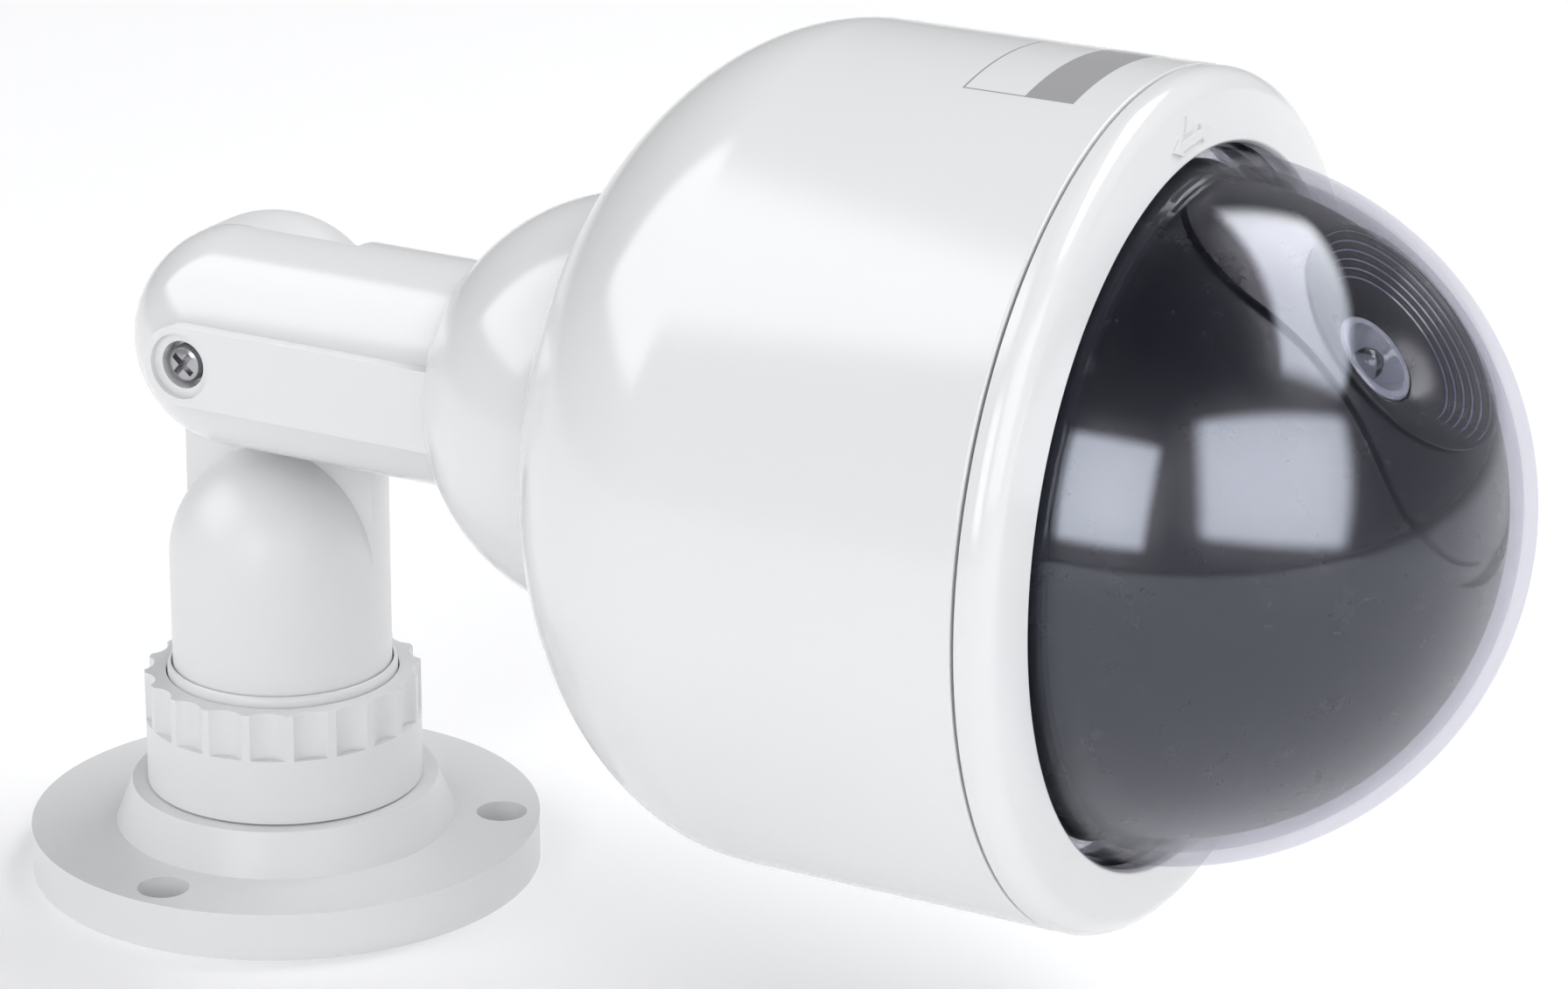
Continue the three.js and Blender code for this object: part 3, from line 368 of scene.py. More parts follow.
def finishes(context):
    """All finishes, made once and kept by name."""
    made = {m.name: m for m in bpy.data.materials}
    if "White moulding" in made:
        return made
    tints = context.scene.domecam_colours
    surface = surface_group()

    def plastic(name, tint, grain, rough, drift, bump, coat=0.0, coat_rough=0.1):
        material, tree, shader, place, effect = start_material(
            name, surface, grain, rough, drift, bump, 0.00006
        )
        shaded(tree, shader, effect, tint)
        shader.inputs["Coat Weight"].default_value = coat
        shader.inputs["Coat Roughness"].default_value = coat_rough
        return material, tree, shader, place, effect

    plastic("White moulding", tints.white, 5200, 0.16, 0.02, 0.04, 0.3, 0.08)
    plastic("White satin moulding", tints.white, 4200, 0.36, 0.02, 0.1)
    label_material(plastic("White housing", tints.white, 5200, 0.16, 0.02, 0.04, 0.3, 0.08))
    for name, strength, rough, bump, gloss in (
        ("Dark shell", 1.0, 0.26, 0.45, 0.55),
        ("Dark lens surround", 0.5, 0.26, 0.1, 0.5),
        # the step finish is the dark colour made sixteen times lighter, a painted highlight for
        # light caught along the lens steps
        ("Lens step edge", 16.0, 0.2, 0.05, 0.8),
    ):
        parts = plastic(name, tuple(strength * c for c in tints.dark), 3400, rough, 0.1, bump)
        parts[2].inputs["Specular IOR Level"].default_value = gloss
    plastic("Grey moulding", tints.grey, 2600, 0.5, 0.08, 0.3)
    plastic("Nylon", (0.72, 0.69, 0.6), 2200, 0.45, 0.06, 0.2)
    plastic("Rubber", (0.015, 0.015, 0.015), 1800, 0.75, 0.1, 0.4)
    plastic("Solder mask", (0.02, 0.13, 0.05), 1500, 0.35, 0.3, 0.2)
    plastic("Cell sleeve", (0.05, 0.13, 0.32), 1500, 0.3, 0.1, 0.05, 0.4)

    for name, tint, rough in (
        ("Plated steel", tints.steel, 0.28),
        ("Reflector", (0.8, 0.8, 0.82), 0.08),
    ):
        _, tree, shader, _, effect = start_material(
            name, surface, 2600, rough, 0.15, 0.25, 0.00003
        )
        shaded(tree, shader, effect, tint)
        shader.inputs["Metallic"].default_value = 1.0

    white = (1.0, 1.0, 1.0)
    for name, tint, index, sheen, through, edge in (
        ("Clear dome", tints.clear, 1.43, (0.8, 0.87, 1.0), 1.0, 0.85),
        ("Clear lens", (0.98, 0.98, 1.0), 1.52, white, 1.0, 0.0),
        ("Frosted lens", (0.36, 0.38, 0.43), 1.6, white, 0.6, 0.0),
    ):
        clear_material(name, surface, tint, index, sheen, through, edge)
    return {m.name: m for m in bpy.data.materials}


def clear_material(name, surface, tint, index, sheen, through, edge):
    """Clear plastic that lets shadow rays through, so that what is behind it stays lit.

    Towards its outline it turns by `edge` into a smoky tint without reflections.
    """
    _, tree, shader, _, effect = start_material(name, surface, 900, 0.0, 0.0, 0.0, 0.00001)
    shader.inputs["Base Color"].default_value = (*tint, 1)
    for used in list(tree.links):
        if used.to_socket in (shader.inputs["Roughness"], shader.inputs["Normal"]):
            tree.links.remove(used)
    smear = maths(tree, "MULTIPLY", effect.outputs["Height"], 0.03)
    link(tree, smear, shader.inputs["Roughness"])
    shader.inputs["Transmission Weight"].default_value = through
    shader.inputs["IOR"].default_value = index
    shader.inputs["Specular Tint"].default_value = (*sheen, 1)
    surface_out = shader.outputs["BSDF"]
    if edge:
        weight = tree.nodes.new("ShaderNodeLayerWeight")
        grow = tree.nodes.new("ShaderNodeMapRange")
        grow.interpolation_type = "SMOOTHSTEP"
        for socket, value in (("From Min", 0.45), ("From Max", 0.8), ("To Max", edge)):
            grow.inputs[socket].default_value = value
        link(tree, weight.outputs["Facing"], grow.inputs["Value"])
        smoky = tree.nodes.new("ShaderNodeBsdfTransparent")
        smoky.inputs["Color"].default_value = (*SMOKE, 1)
        surface_out = mixed_shader(tree, grow.outputs["Result"], surface_out, smoky.outputs["BSDF"])
    passing = tree.nodes.new("ShaderNodeBsdfTransparent")
    passing.inputs["Color"].default_value = (*tint, 1)
    shadow = tree.nodes.new("ShaderNodeLightPath").outputs["Is Shadow Ray"]
    surface_out = mixed_shader(tree, shadow, surface_out, passing.outputs["BSDF"])
    link(tree, surface_out, tree.nodes["Material Output"].inputs["Surface"])


def mixed_shader(tree, share, first, second):
    mix = tree.nodes.new("ShaderNodeMixShader")
    link(tree, share, mix.inputs["Fac"])
    link(tree, first, mix.inputs[1])
    link(tree, second, mix.inputs[2])
    return mix.outputs["Shader"]


SMOKE = (0.84, 0.84, 0.88)
PRINT = (0.33, 0.33, 0.34, 1)
# ends along the housing in metres, sides round it in degrees, line width in metres, and the
# share of the length before the grey field
LABEL = {
    "first": 0.1438, "last": 0.1626, "low": -13.4, "high": 25.0, "line": 0.00035, "field": 0.56,
}


def label_material(parts):
    """A blank two-tone label printed on top of the housing: an outline and a grey field."""
    _, tree, shader, place, _ = parts
    split = tree.nodes.new("ShaderNodeSeparateXYZ")
    link(tree, place, split.inputs["Vector"])
    side = maths(tree, "SUBTRACT", split.outputs["Y"], HINGE.y * MM)
    rise = maths(tree, "SUBTRACT", split.outputs["Z"], HINGE.z * MM)
    angle = maths(tree, "ARCTAN2", side, rise)
    along = split.outputs["X"]
    radius = HOUSING_RADIUS * MM
    round_it = maths(tree, "MULTIPLY", angle, radius)
    x0, x1 = LABEL["first"], LABEL["last"]
    y0, y1 = (math.radians(LABEL[k]) * radius for k in ("low", "high"))

    def within(value, low, high):
        over = maths(tree, "GREATER_THAN", value, low)
        under = maths(tree, "LESS_THAN", value, high)
        return maths(tree, "MULTIPLY", over, under)

    def area(margin):
        return maths(tree, "MULTIPLY", within(along, x0 + margin, x1 - margin),
                     within(round_it, y0 + margin, y1 - margin))

    outer, inner = area(0), area(LABEL["line"])
    outline = maths(tree, "SUBTRACT", outer, inner)
    beyond = maths(tree, "GREATER_THAN", along, x0 + LABEL["field"] * (x1 - x0))
    field = maths(tree, "MULTIPLY", inner, beyond)
    print_mask = maths(tree, "MAXIMUM", outline, field)
    base = shader.inputs["Base Color"].links[0].from_socket
    mix = tree.nodes.new("ShaderNodeMix")
    mix.data_type = "RGBA"
    link(tree, print_mask, mix.inputs["Factor"])
    link(tree, base, mix.inputs["A"])
    mix.inputs["B"].default_value = PRINT
    link(tree, mix.outputs["Result"], shader.inputs["Base Color"])


def dress(context, names, finish):
    """Gives CAD nodes that stay visible a finish."""
    material = finishes(context)[finish]
    for name in names:
        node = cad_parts[name]
        for place in node.material_slots:
            place.link = "OBJECT"
            place.material = material


# ---------------------------------------------------------------- operators


class PieceOperator:
    """What the building operators share."""

    bl_options = {"REGISTER", "UNDO"}


# place in metres, turn in degrees, focal length and sensor width in millimetres
EYE = (0.50338, -0.73916, 0.38717)
EYE_TURN = (70.325, -0.369, 28.738)
EYE_LENS, EYE_SENSOR = 124.63, 36
SUBJECT = Vector((0.14, 0, 0.08))
LAMP_DISTANCE = 2.2
LAMP_STEP = 0.03
# name; turn, rise and roll in degrees; width and height in metres, and three brightnesses:
# its light on everything, its extra sheen on everything, and its extra sheen on the dome
LAMPS = (
    ("left softbox", (-88, 22, 0), (1.3, 1.5), (2.3, 0.2, 2.7)),
    ("right softbox", (-30, 25, -12), (2.3, 1.8), (1.1, 0.3, 3.7)),
    ("overhead softbox", (47, 57, 0), (2.9, 0.95), (4.5, 0.1, 0.4)),
    ("side softbox", (-156, 42, 0), (2.2, 2.0), (1.2, 1.1, 0)),
)
CLEAR_PIECES = "clear pieces"
# height as the sine of the rise, and brightness there
BACKDROP = ((0.0, 0.42), (0.5, 0.32), (0.77, 0.14), (0.93, 0.05), (1.0, 0.04))


class DOMECAM_OT_stage(PieceOperator, bpy.types.Operator):
    """Add the camera, the pale floor and the soft studio lights"""

    bl_idname = "domecam.stage"
    bl_label = "Studio"

    def execute(self, context):
        scene = context.scene
        view = bpy.data.cameras.new("view")
        view.lens = EYE_LENS
        view.sensor_width = EYE_SENSOR
        eye = bpy.data.objects.new("view", view)
        eye.location = EYE
        eye.rotation_euler = [math.radians(a) for a in EYE_TURN]
        scene.collection.objects.link(eye)
        scene.camera = eye

        floor = bpy.data.materials.new("Pale floor")
        floor.use_nodes = True
        shader = floor.node_tree.nodes["Principled BSDF"]
        shader.inputs["Base Color"].default_value = (*context.scene.domecam_colours.floor, 1)
        shader.inputs["Roughness"].default_value = 0.7
        shader.inputs["Emission Color"].default_value = (1, 1, 1, 1)
        shader.inputs["Emission Strength"].default_value = 0.08
        bm = bmesh.new()
        bmesh.ops.create_grid(bm, x_segments=1, y_segments=1, size=6)
        mesh = bpy.data.meshes.new("floor")
        bm.to_mesh(mesh)
        bm.free()
        mesh.materials.append(floor)
        ground = bpy.data.objects.new("floor", mesh)
        scene.collection.objects.link(ground)

        self.backdrop(scene)
        bpy.data.collections.new(CLEAR_PIECES)
        for lamp in LAMPS:
            self.softbox(scene, *lamp)
        return {"FINISHED"}

    def backdrop(self, scene):
        """A pale wall all round that fades to a dim ceiling."""
        world = bpy.data.worlds.new("studio")
        world.use_nodes = True
        tree = world.node_tree
        split = tree.nodes.new("ShaderNodeSeparateXYZ")
        way = tree.nodes.new("ShaderNodeTexCoord").outputs["Generated"]
        link(tree, way, split.inputs["Vector"])
        fade = tree.nodes.new("ShaderNodeValToRGB")
        link(tree, split.outputs["Z"], fade.inputs["Fac"])
        ramp = fade.color_ramp
        for i, (height, level) in enumerate(BACKDROP):
            stop = ramp.elements[i] if i < 2 else ramp.elements.new(height)
            stop.position = height
            stop.color = (0.97 * level, 0.98 * level, level, 1)
        link(tree, fade.outputs["Color"], tree.nodes["Background"].inputs["Color"])
        scene.world = world
        scene.view_settings.view_transform = "Standard"

    def softbox(self, scene, name, aim, size, levels):
        """A soft light, with up to two more in its place that show only in reflections."""
        turn_rad, rise_rad, roll_rad = (math.radians(a) for a in aim)
        way = Vector((math.cos(rise_rad) * math.cos(turn_rad),
                      math.cos(rise_rad) * math.sin(turn_rad), math.sin(rise_rad)))
        facing = (-way).to_track_quat("-Z", "Y").to_matrix() @ Matrix.Rotation(roll_rad, 3, "Z")
        for i, (kind, bright) in enumerate(zip(("light", "sheen", "dome"), levels)):
            if not bright:
                continue
            lamp = bpy.data.lights.new(f"{name} {kind}", "AREA")
            lamp.shape = "RECTANGLE"
            lamp.size, lamp.size_y = size
            lamp.energy = bright * math.pi * size[0] * size[1]
            holder = bpy.data.objects.new(lamp.name, lamp)
            holder.location = SUBJECT + way * (LAMP_DISTANCE + i * LAMP_STEP)
            holder.rotation_euler = facing.to_euler()
            holder.visible_diffuse = kind == "light"
            if kind == "dome":
                holder.light_linking.receiver_collection = bpy.data.collections[CLEAR_PIECES]
            self.soften(lamp)
            scene.collection.objects.link(holder)

    def soften(self, lamp):
        """Fades a softbox towards its edges."""
        lamp.use_nodes = True
        tree = lamp.node_tree
        split = tree.nodes.new("ShaderNodeSeparateXYZ")
        spot = tree.nodes.new("ShaderNodeNewGeometry").outputs["Parametric"]
        link(tree, spot, split.inputs["Vector"])
        fades = []
        for place in (split.outputs["X"], split.outputs["Y"]):
            away = maths(tree, "ABSOLUTE", maths(tree, "SUBTRACT", place, 0.5))
            fade = tree.nodes.new("ShaderNodeMapRange")
            fade.interpolation_type = "SMOOTHSTEP"
            for socket, value in (("From Min", 0.5), ("From Max", 0.36), ("To Max", 1.15)):
                fade.inputs[socket].default_value = value
            link(tree, away, fade.inputs["Value"])
            fades.append(fade.outputs["Result"])
        strength = tree.nodes["Emission"].inputs["Strength"]
        link(tree, maths(tree, "MULTIPLY", *fades), strength)


class DOMECAM_OT_base(PieceOperator, bpy.types.Operator):
    """Build the round base plate with its cone, spigot and three holes"""

    bl_idname = "domecam.base"
    bl_label = "Base"

    def execute(self, context):
        made = finishes(context)
        sizes = context.scene.domecam_sizes
        r = sizes.flange_radius / MM
        bm = turned([
            (29.3, 0), (r, 0), (r, 8.45), (30, 8.45), (27, 16), (21.6, 16), (21.6, 31),
            (19.5, 31), (19.5, 7), (23.15, 7), (23.15, 3), (29.3, 3),
        ])
        for i in range(3):
            t = math.radians(-90 + 120 * i)
            spot = (38.2 * math.cos(t), 38.2 * math.sin(t), 0)
            bm = cut(bm, rod(4.5, -1, 10, "Z", spot))
        piece("base_moulding", bm, made["White satin moulding"], "base", ["base_flange"],
              sizes.edge)
        dress(context, ["retainer_plate"], "Grey moulding")
        dress(context, ["thrust_washer"], "Nylon")
        dress(context, [f"retainer_screw_{i}" for i in (1, 2, 3)], "Plated steel")
        return {"FINISHED"}


class DOMECAM_OT_lock_nut(PieceOperator, bpy.types.Operator):
    """Build the ribbed lock nut and the clamp ring inside it"""

    bl_idname = "domecam.lock_nut"
    bl_label = "Lock nut"

    def execute(self, context):
        made = finishes(context)
        bm = turned([
            (21.85, 16.3), (24.25, 16.3), (24.25, 36.4), (20.5, 36.4), (20.5, 34.6), (21.85, 32.3),
        ], steps=180)
        flutes = bmesh.new()
        flute, pitch = 4.27, 27.05
        for i in range(20):
            t = math.radians(9 + 18 * i)
            bmesh.ops.create_cone(
                flutes,
                cap_ends=True,
                segments=40,
                radius1=flute,
                radius2=flute,
                depth=20,
                matrix=Matrix.Translation((pitch * math.cos(t), pitch * math.sin(t), 38)),
            )
        bm = cut(bm, flutes)
        piece("lock_nut_moulding", bm, made["White satin moulding"], "nut", ["lock_nut"], 0.0002)
        bead = turned([
            (19.5, 31.3), (21.725, 31.3), (21.725, 32.3), (20.25, 34.4), (20.25, 37.2),
            (20.1, 37.8), (19.75, 38.2), (19.5, 38.2),
        ])
        piece("clamp_ring_moulding", bead, made["White satin moulding"], "clamp", ["clamp_ring"],
              0.0002)
        return {"FINISHED"}


class DOMECAM_OT_stem(PieceOperator, bpy.types.Operator):
    """Build the turning stem with its half-round knuckle"""

    bl_idname = "domecam.stem"
    bl_label = "Stem"

    def execute(self, context):
        made = finishes(context)
        sizes = context.scene.domecam_sizes
        r = sizes.stem_radius / MM
        hollow, crown = r - 2.5, 57.7
        bm = turned([
            (hollow, 3.2), (22.9, 3.2), (22.9, 5.8), (r, 5.8),
            *arc(0, crown, r, r, 0, 90), *arc(0, crown, hollow, hollow, 90, 0),
        ])
        lug = turned([(0, 52.7), (r, 52.7), *arc(0, HINGE.z, r, r, 0, 90)])
        bmesh.ops.bisect_plane(
            lug,
            geom=lug.verts[:] + lug.edges[:] + lug.faces[:],
            plane_co=(0, 0, 0),
            plane_no=(0, 1, 0),
            clear_inner=True,
        )
        bmesh.ops.holes_fill(lug, edges=lug.edges[:], sides=0)
        bm = join(bm, lug)
        bm = join(bm, rod(r, -7.7, 0.05, "Y", KNUCKLE, TURNS))
        bm = cut(bm, rod(6.25, r - 2.85, r + 1, "Y", KNUCKLE, 72))
        bm = cut(bm, rod(4.35, r - 7.05, r + 1, "Y", KNUCKLE, 6))
        bm = cut(bm, rod(2.25, -10, r + 1, "Y", KNUCKLE, 32))
        bm = cut(bm, turned([(6.8, -9), (15.2, -9), (15.2, -6.85), (6.8, -6.85)], "Y", KNUCKLE))
        piece("stem_moulding", bm, made["White satin moulding"], "stem", ["stem_knuckle"], 0.0003)
        dress(context, ["pivot_cap"], "White moulding")
        dress(context, ["pivot_nut"], "Plated steel")
        dress(context, ["friction_washer"], "Nylon")
        return {"FINISHED"}


class DOMECAM_OT_arm(PieceOperator, bpy.types.Operator):
    """Build the arm with its cheek, flat pad and neck ball"""

    bl_idname = "domecam.arm"
    bl_label = "Arm"

    def execute(self, context):
        made = finishes(context)
        sizes = context.scene.domecam_sizes
        r = sizes.stem_radius / MM
        ball = sizes.ball_radius / MM
        neck = radius_of("arm_knuckle", 1) / MM
        flange_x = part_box("arm_knuckle")[1][0] / MM - 2.5
        bm = turned([*arc(0, 0, r, r, -90, 0), (r, 70), (0, 70)], "X", HINGE)
        bm = cut(bm, block((-40, HINGE.y, 60), (23, 40, 140)))
        middle, hollow = 77.25, ball - 2.5
        head = turned([
            *arc(0, middle, ball, ball, -90, 0, 40), (ball, flange_x), (neck, flange_x),
            (neck, flange_x + 2.5), (0, flange_x + 2.5),
        ], "X", HINGE)
        bm = join(bm, head)
        reach = 51.25 / 2
        pad = prism(stadium(7, reach), 11)
        move(pad, Matrix.Translation((reach, HINGE.y - 9.6, HINGE.z)) @ Matrix.Rotation(
            math.radians(90), 4, "X"))
        bm = join(bm, pad)
        bm = cut(bm, rod(5.7, -40, HINGE.y - 19.4, "Y", KNUCKLE, 72))
        bm = cut(bm, rod(4.15, -40, HINGE.y - 16.1, "Y", KNUCKLE, 64))
        bm = cut(bm, rod(2.25, -40, 0, "Y", KNUCKLE, 32))
        bm = cut(bm, turned([(6.8, -8.85), (15.2, -8.85), (15.2, -7), (6.8, -7)], "Y", KNUCKLE))
        inner = turned([*arc(0, middle, hollow, hollow, -90, 0), (hollow, 95), (0, 95)],
                       "X", HINGE)
        bm = cut(bm, inner)
        piece("arm_moulding", bm, made["White moulding"], "head", ["arm_knuckle"], 0.0003)
        dress(context, [f"neck_screw_{i}" for i in (1, 2, 3)], "Plated steel")
        return {"FINISHED"}


class DOMECAM_OT_hinge_screw(PieceOperator, bpy.types.Operator):
    """Build the cross-head screw and its washer"""

    bl_idname = "domecam.hinge_screw"
    bl_label = "Hinge screw"

    def execute(self, context):
        made = finishes(context)
        low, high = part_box("pivot_screw")
        front, tip = low[1] / MM, high[1] / MM
        bm = turned([
            (0, front), (2.1, front + 0.05), (2.9, front + 0.4), (3.25, front + 1.1),
            (3.25, front + 2.6), (2, front + 2.6), (2, tip), (0, tip),
        ], "Y", KNUCKLE, 64)
        to_head = Matrix.Translation(KNUCKLE) @ Matrix.Rotation(math.radians(40), 4, "Y")
        for half_x, half_z in ((2.3, 0.55), (0.55, 2.3)):
            slot = block((-half_x, front - 1, 100 - half_z), (half_x, front + 2.0, 100 + half_z))
            bm = cut(bm, move(slot, to_head @ Matrix.Translation((0, 0, -100))))
        piece("hinge_screw", bm, made["Plated steel"], "screw", ["pivot_screw"], 0.0001)
        dress(context, ["pivot_washer"], "Plated steel")
        return {"FINISHED"}


class DOMECAM_OT_housing(PieceOperator, bpy.types.Operator):
    """Build the round housing"""

    bl_idname = "domecam.housing"
    bl_label = "Housing"

    def execute(self, context):
        made = finishes(context)
        sizes = context.scene.domecam_sizes
        r = sizes.housing_radius / MM
        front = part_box("housing_shell")[1][0] / MM
        hollow = r - 2.6
        shoulder, rear = front - 54, 36.0
        start = math.degrees(math.acos(rear / r))
        inside = math.degrees(math.acos(rear / hollow))
        bm = turned([
            *arc(0, shoulder, r, 45.35, -start, 0, 48), (r, front), (hollow, front),
            *arc(0, shoulder, hollow, 42.75, 0, -inside, 32),
        ], "X", HINGE, 192)
        piece("housing_moulding", bm, made["White housing"], "head", ["housing_shell"], 0.0004)
        return {"FINISHED"}


class DOMECAM_OT_bezel(PieceOperator, bpy.types.Operator):
    """Build the bezel with its raised twist mark, and finish its seals"""

    bl_idname = "domecam.bezel"
    bl_label = "Bezel"

    def execute(self, context):
        made = finishes(context)
        sizes = context.scene.domecam_sizes
        outer = sizes.housing_radius / MM - 0.05
        opening = sizes.bezel_opening / MM
        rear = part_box("housing_shell")[1][0] / MM + 0.5
        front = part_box("bezel_ring")[1][0] / MM
        bm = turned([
            (62, rear - 9), (64, rear - 9), (64, rear), (outer, rear),
            *arc(outer - 4.4, front - 5.5, 4.4, 4.1, 0, 78, 20),
            (opening + 0.6, front), (opening, front - 0.8), (opening, rear + 3.3),
            (62, rear + 3.3),
        ], "X", HINGE, 192)
        piece("bezel_moulding", bm, made["White moulding"], "bezel", ["bezel_ring"], 0.0003)
        self.mark(made, front, opening)
        dress(context, ["bezel_seal", "dome_gasket"], "Rubber")
        dress(context, ["dome_retainer"], "Grey moulding")
        return {"FINISHED"}

    def mark(self, made, front, opening):
        """A double arrow and a small triangle, raised from the front of the bezel."""
        arrow = [(-6.3, 0), (-3.6, 1.5), (-3.6, 0.75), (3.6, 0.75), (3.6, 1.5), (6.3, 0),
                 (3.6, -1.5), (3.6, -0.75), (-3.6, -0.75), (-3.6, -1.5)]
        triangle = [(-1.7, 1.5), (1.7, 1.5), (0, 3.9)]
        height = 0.9
        stand = Matrix(((0, 0, 1, 0), (1, 0, 0, 0), (0, 1, 0, 0), (0, 0, 0, 1)))
        lean = Matrix.Rotation(math.radians(-13), 4, "Y")
        place = Matrix.Translation((front - height, 0, opening + 3.3))
        about = Matrix.Translation(HINGE) @ Matrix.Rotation(math.radians(4.4), 4, "X")
        for name, corners in (("twist_arrow", arrow), ("twist_triangle", triangle)):
            bm = prism(corners, height)
            move(bm, about @ place @ lean @ stand)
            piece(name, bm, made["White moulding"], "bezel", (), 0.00012)


class DOMECAM_OT_dome(PieceOperator, bpy.types.Operator):
    """Build the clear dome"""

    bl_idname = "domecam.dome"
    bl_label = "Clear dome"

    def execute(self, context):
        made = finishes(context)
        sizes = context.scene.domecam_sizes
        r = sizes.dome_radius / MM
        low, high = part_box("clear_dome")
        rear, middle = low[0] / MM, high[0] / MM - r
        wide = radius_of("clear_dome", 1) / MM
        hollow = r - 2.2
        bm = turned([
            (hollow, rear), (wide, rear), (wide, rear + 1.8), (r, rear + 1.8),
            *arc(0, middle, r, r, 0, 90, 64), *arc(0, middle, hollow, hollow, 90, 0, 64),
        ], "X", HINGE, 192)
        dome = piece("dome_moulding", bm, made["Clear dome"], "bezel", ["clear_dome"], None)
        bpy.data.collections[CLEAR_PIECES].objects.link(dome)
        return {"FINISHED"}


def lens_turn():
    """From the lens's own axis along X to its place and tilt under the dome."""
    centre = Vector((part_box("clear_dome")[1][0] / MM - DOME_RADIUS, HINGE.y, HINGE.z))
    return Matrix.Translation(centre) @ Matrix.Rotation(math.radians(-42.2), 4, "Y")


class DOMECAM_OT_inner_shell(PieceOperator, bpy.types.Operator):
    """Build the dark shell with the groove round its lens"""

    bl_idname = "domecam.inner_shell"
    bl_label = "Inner shell"

    def execute(self, context):
        made = finishes(context)
        r = context.scene.domecam_sizes.shell_radius / MM
        low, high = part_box("inner_shell")
        rear, middle = low[0] / MM, high[0] / MM - r
        hollow = r - 2.2
        bm = turned([
            (hollow, rear), (r, rear), *arc(0, middle, r, r, 0, 90, 64),
            *arc(0, middle, hollow, hollow, 90, 0, 40),
        ], "X", HINGE, 192)
        reach = r * math.sin(math.radians(15.8))
        tilt = Matrix.Translation((middle, HINGE.y, HINGE.z)) @ Matrix.Rotation(
            math.radians(90 - 44.2), 4, "Y")
        ring = cut(move(prism(stadium(24.1, reach), 45), Matrix.Translation((0, 0, 13))),
                   move(prism(stadium(21.3, reach), 60), Matrix.Translation((0, 0, 5))))
        ball = bmesh.new()
        bmesh.ops.create_uvsphere(ball, u_segments=96, v_segments=64, radius=r - 1)
        bm = cut(bm, move(cut(ring, ball), tilt))
        bm = cut(bm, move(rod(18.9, 20, 70, "X", (0, 0, 0), 96), lens_turn()))
        piece("shell_moulding", bm, made["Dark shell"], "head", ["inner_shell"], 0.0004)
        dress(context, [f"shell_screw_{i}" for i in (1, 2, 3)], "Plated steel")
        return {"FINISHED"}


class DOMECAM_OT_lens(PieceOperator, bpy.types.Operator):
    """Build the stepped lens surround with lighter beads on its steps as a painted highlight, the
    clear lens and the LED
    """

    bl_idname = "domecam.lens"
    bl_label = "Lens"

    def execute(self, context):
        made = finishes(context)
        rim = context.scene.domecam_sizes.lens_radius / MM
        top, fall, count, tread = 49.4, 3.4, 6, 1.2
        steps = []
        for i in range(count):
            out, into = (rim - 0.8 - tread * k for k in (i, i + 1))
            level = top - fall / count * (i + 1)
            steps += [(out, level), (into, level)]
        bm = turned([
            (7.7, 35), (9.4, 35), (9.4, 41.4), (13.2, 44.4), (18.6, 46.4), (18.6, 48.9),
            (rim, 48.9), (rim - 0.1, top), (rim - 0.8, top), *steps, (7.7, 43.6),
        ], "X", (0, 0, 0), 144)
        piece("lens_surround_moulding", move(bm, lens_turn()), made["Dark lens surround"], "head",
              ["lens_surround"], 0.0001)
        # thin beads round the outer edge of each step in a lighter grey: a painted highlight where
        # the step edges catch the light
        highlight_beads = bmesh.new()
        for out, level in steps[::2]:
            turn(highlight_beads, [(out - 0.2, level), (out, level - 0.2), (out + 0.2, level),
                         (out, level + 0.2)], "X", (0, 0, 0), 144)
        piece("lens_step_highlight_beads", move(highlight_beads, lens_turn()), made["Lens step edge"], "head", (),
              None)
        cup = turned([
            (3.2, 37.4), (4.6, 37.4), (7.4, 42.4), (7.4, 43.6), (7.0, 44.0), (6.0, 43.9),
            (5.6, 43.0), (4.6, 41.6), (4.4, 40.4), (3.2, 38.9),
        ], "X", (0, 0, 0), 96)
        piece("lens_ring", move(cup, lens_turn()), made["Frosted lens"], "head", ["lens_cup"],
              0.0001)
        lining = turned([(3.0, 36.9), (3.15, 36.9), (3.15, 37.3), (3.0, 37.3)], "X", (0, 0, 0), 64)
        piece("led_collar", move(lining, lens_turn()), made["Reflector"], "head", (), None)
        bulb = turned([
            (0, 37.4), (2.9, 37.4), (2.9, 38.2), (2.5, 38.2), *arc(0, 42, 2.5, 2.5, 0, 90, 16),
        ], "X", (0, 0, 0), 64)
        piece("led_bulb", move(bulb, lens_turn()), made["Clear lens"], "head", ["led"], 0.0001)
        frame_cup = turned([
            (0, 38.6), (1.5, 38.6), (1.9, 40.6), (1.6, 40.6), (0.7, 39.3), (0, 39.3),
        ], "X", (0, 0, 0), 48)
        piece("led_frame", move(frame_cup, lens_turn()), made["Reflector"], "head", (), 0.00008)
        dress(context, ["led_holder"], "Grey moulding")
        return {"FINISHED"}


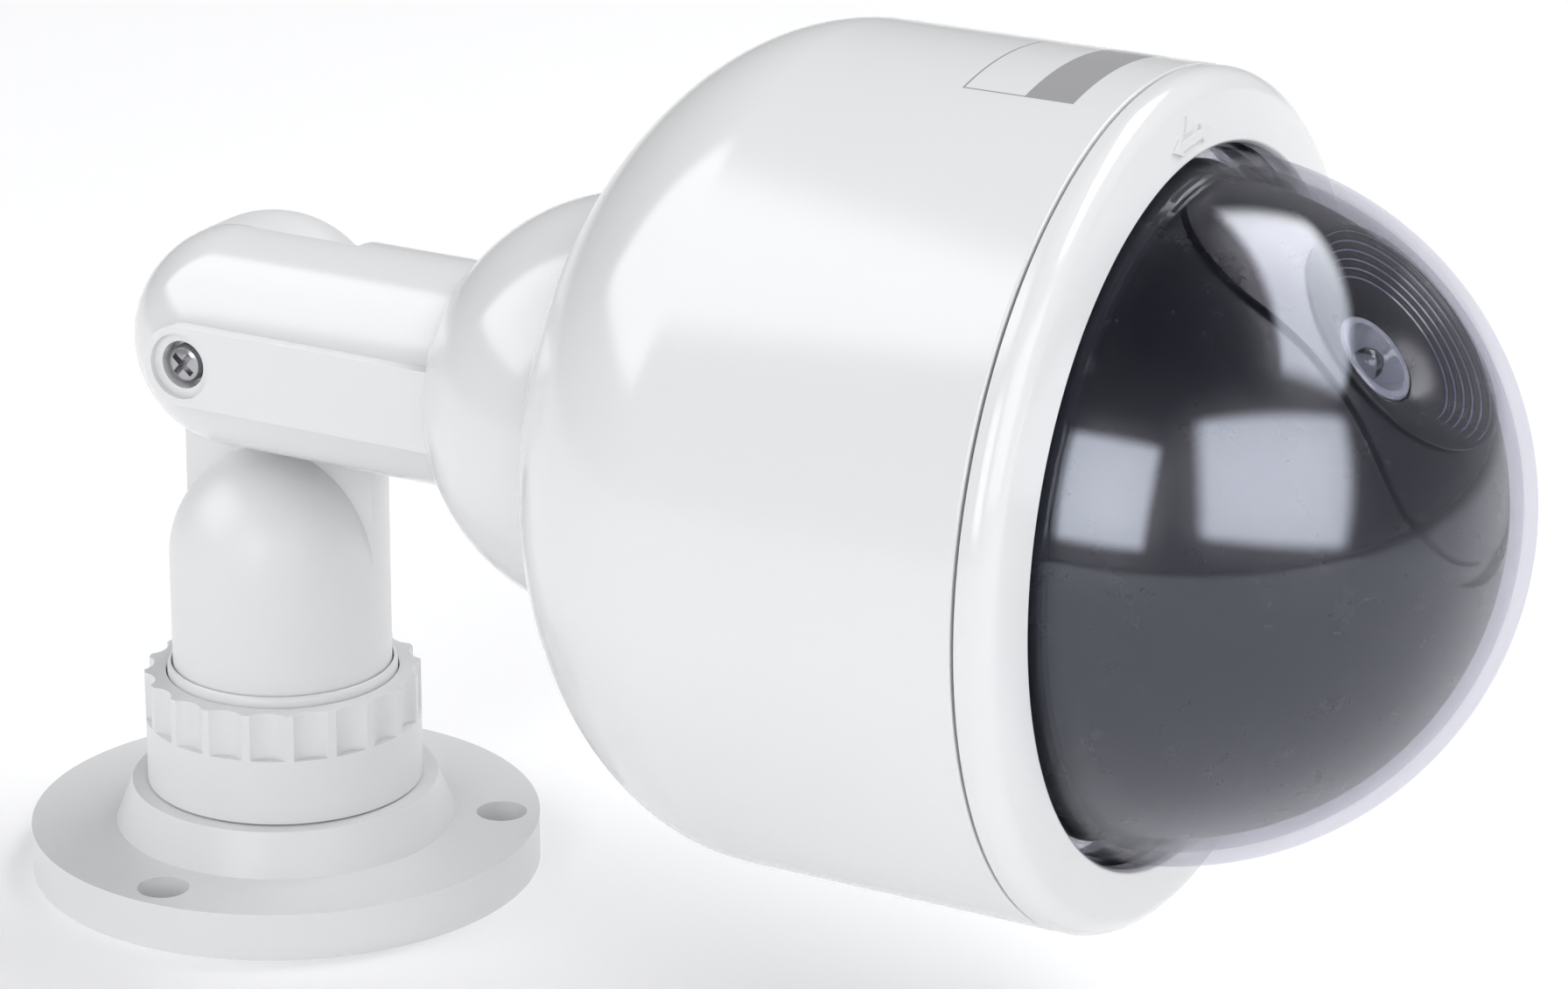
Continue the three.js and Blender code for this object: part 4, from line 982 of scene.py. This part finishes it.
class DOMECAM_OT_electrics(PieceOperator, bpy.types.Operator):
    """Finish the chassis, the battery box and the electrics"""

    bl_idname = "domecam.electrics"
    bl_label = "Electrics"

    def execute(self, context):
        dress(context, ["chassis_plate", "battery_box", "battery_lid", "slide_switch"],
              "Grey moulding")
        dress(context, ["switch_knob", "driver_chip", "capacitor"], "Dark shell")
        dress(context, ["circuit_board"], "Solder mask")
        dress(context, ["battery_cell_1", "battery_cell_2"], "Cell sleeve")
        steel = ["lid_hinge_pin"]
        steel += [f"chassis_screw_{i}" for i in (1, 2, 3)]
        for stem in ("board_screw", "battery_box_screw", "contact_plate", "contact_spring"):
            steel += [f"{stem}_{i}" for i in (1, 2)]
        dress(context, steel, "Plated steel")
        return {"FINISHED"}


STEPS = (
    DOMECAM_OT_stage,
    DOMECAM_OT_base,
    DOMECAM_OT_lock_nut,
    DOMECAM_OT_stem,
    DOMECAM_OT_arm,
    DOMECAM_OT_hinge_screw,
    DOMECAM_OT_housing,
    DOMECAM_OT_bezel,
    DOMECAM_OT_dome,
    DOMECAM_OT_inner_shell,
    DOMECAM_OT_lens,
    DOMECAM_OT_electrics,
)


class DOMECAM_PT_panel(bpy.types.Panel):
    """Lists the camera's sizes, colours and building steps"""

    bl_label = "Dome camera"
    bl_idname = "DOMECAM_PT_panel"
    bl_space_type = "VIEW_3D"
    bl_region_type = "UI"
    bl_category = "Dome camera"

    def draw(self, context):
        for group in (context.scene.domecam_sizes, context.scene.domecam_colours):
            column = self.layout.column()
            for name in group.__annotations__:
                column.prop(group, name)
        for step in STEPS:
            self.layout.operator(step.bl_idname)


CLASSES = (DOMECAM_PG_sizes, DOMECAM_PG_colours, *STEPS, DOMECAM_PT_panel)


def register():
    for cls in CLASSES:
        bpy.utils.register_class(cls)
    bpy.types.Scene.domecam_sizes = PointerProperty(type=DOMECAM_PG_sizes)
    bpy.types.Scene.domecam_colours = PointerProperty(type=DOMECAM_PG_colours)


def unregister():
    del bpy.types.Scene.domecam_colours
    del bpy.types.Scene.domecam_sizes
    for cls in reversed(CLASSES):
        bpy.utils.unregister_class(cls)


def main():
    register()
    for step in STEPS:
        group, name = step.bl_idname.split(".")
        getattr(getattr(bpy.ops, group), name)()


if __name__ == "__main__":
    main()
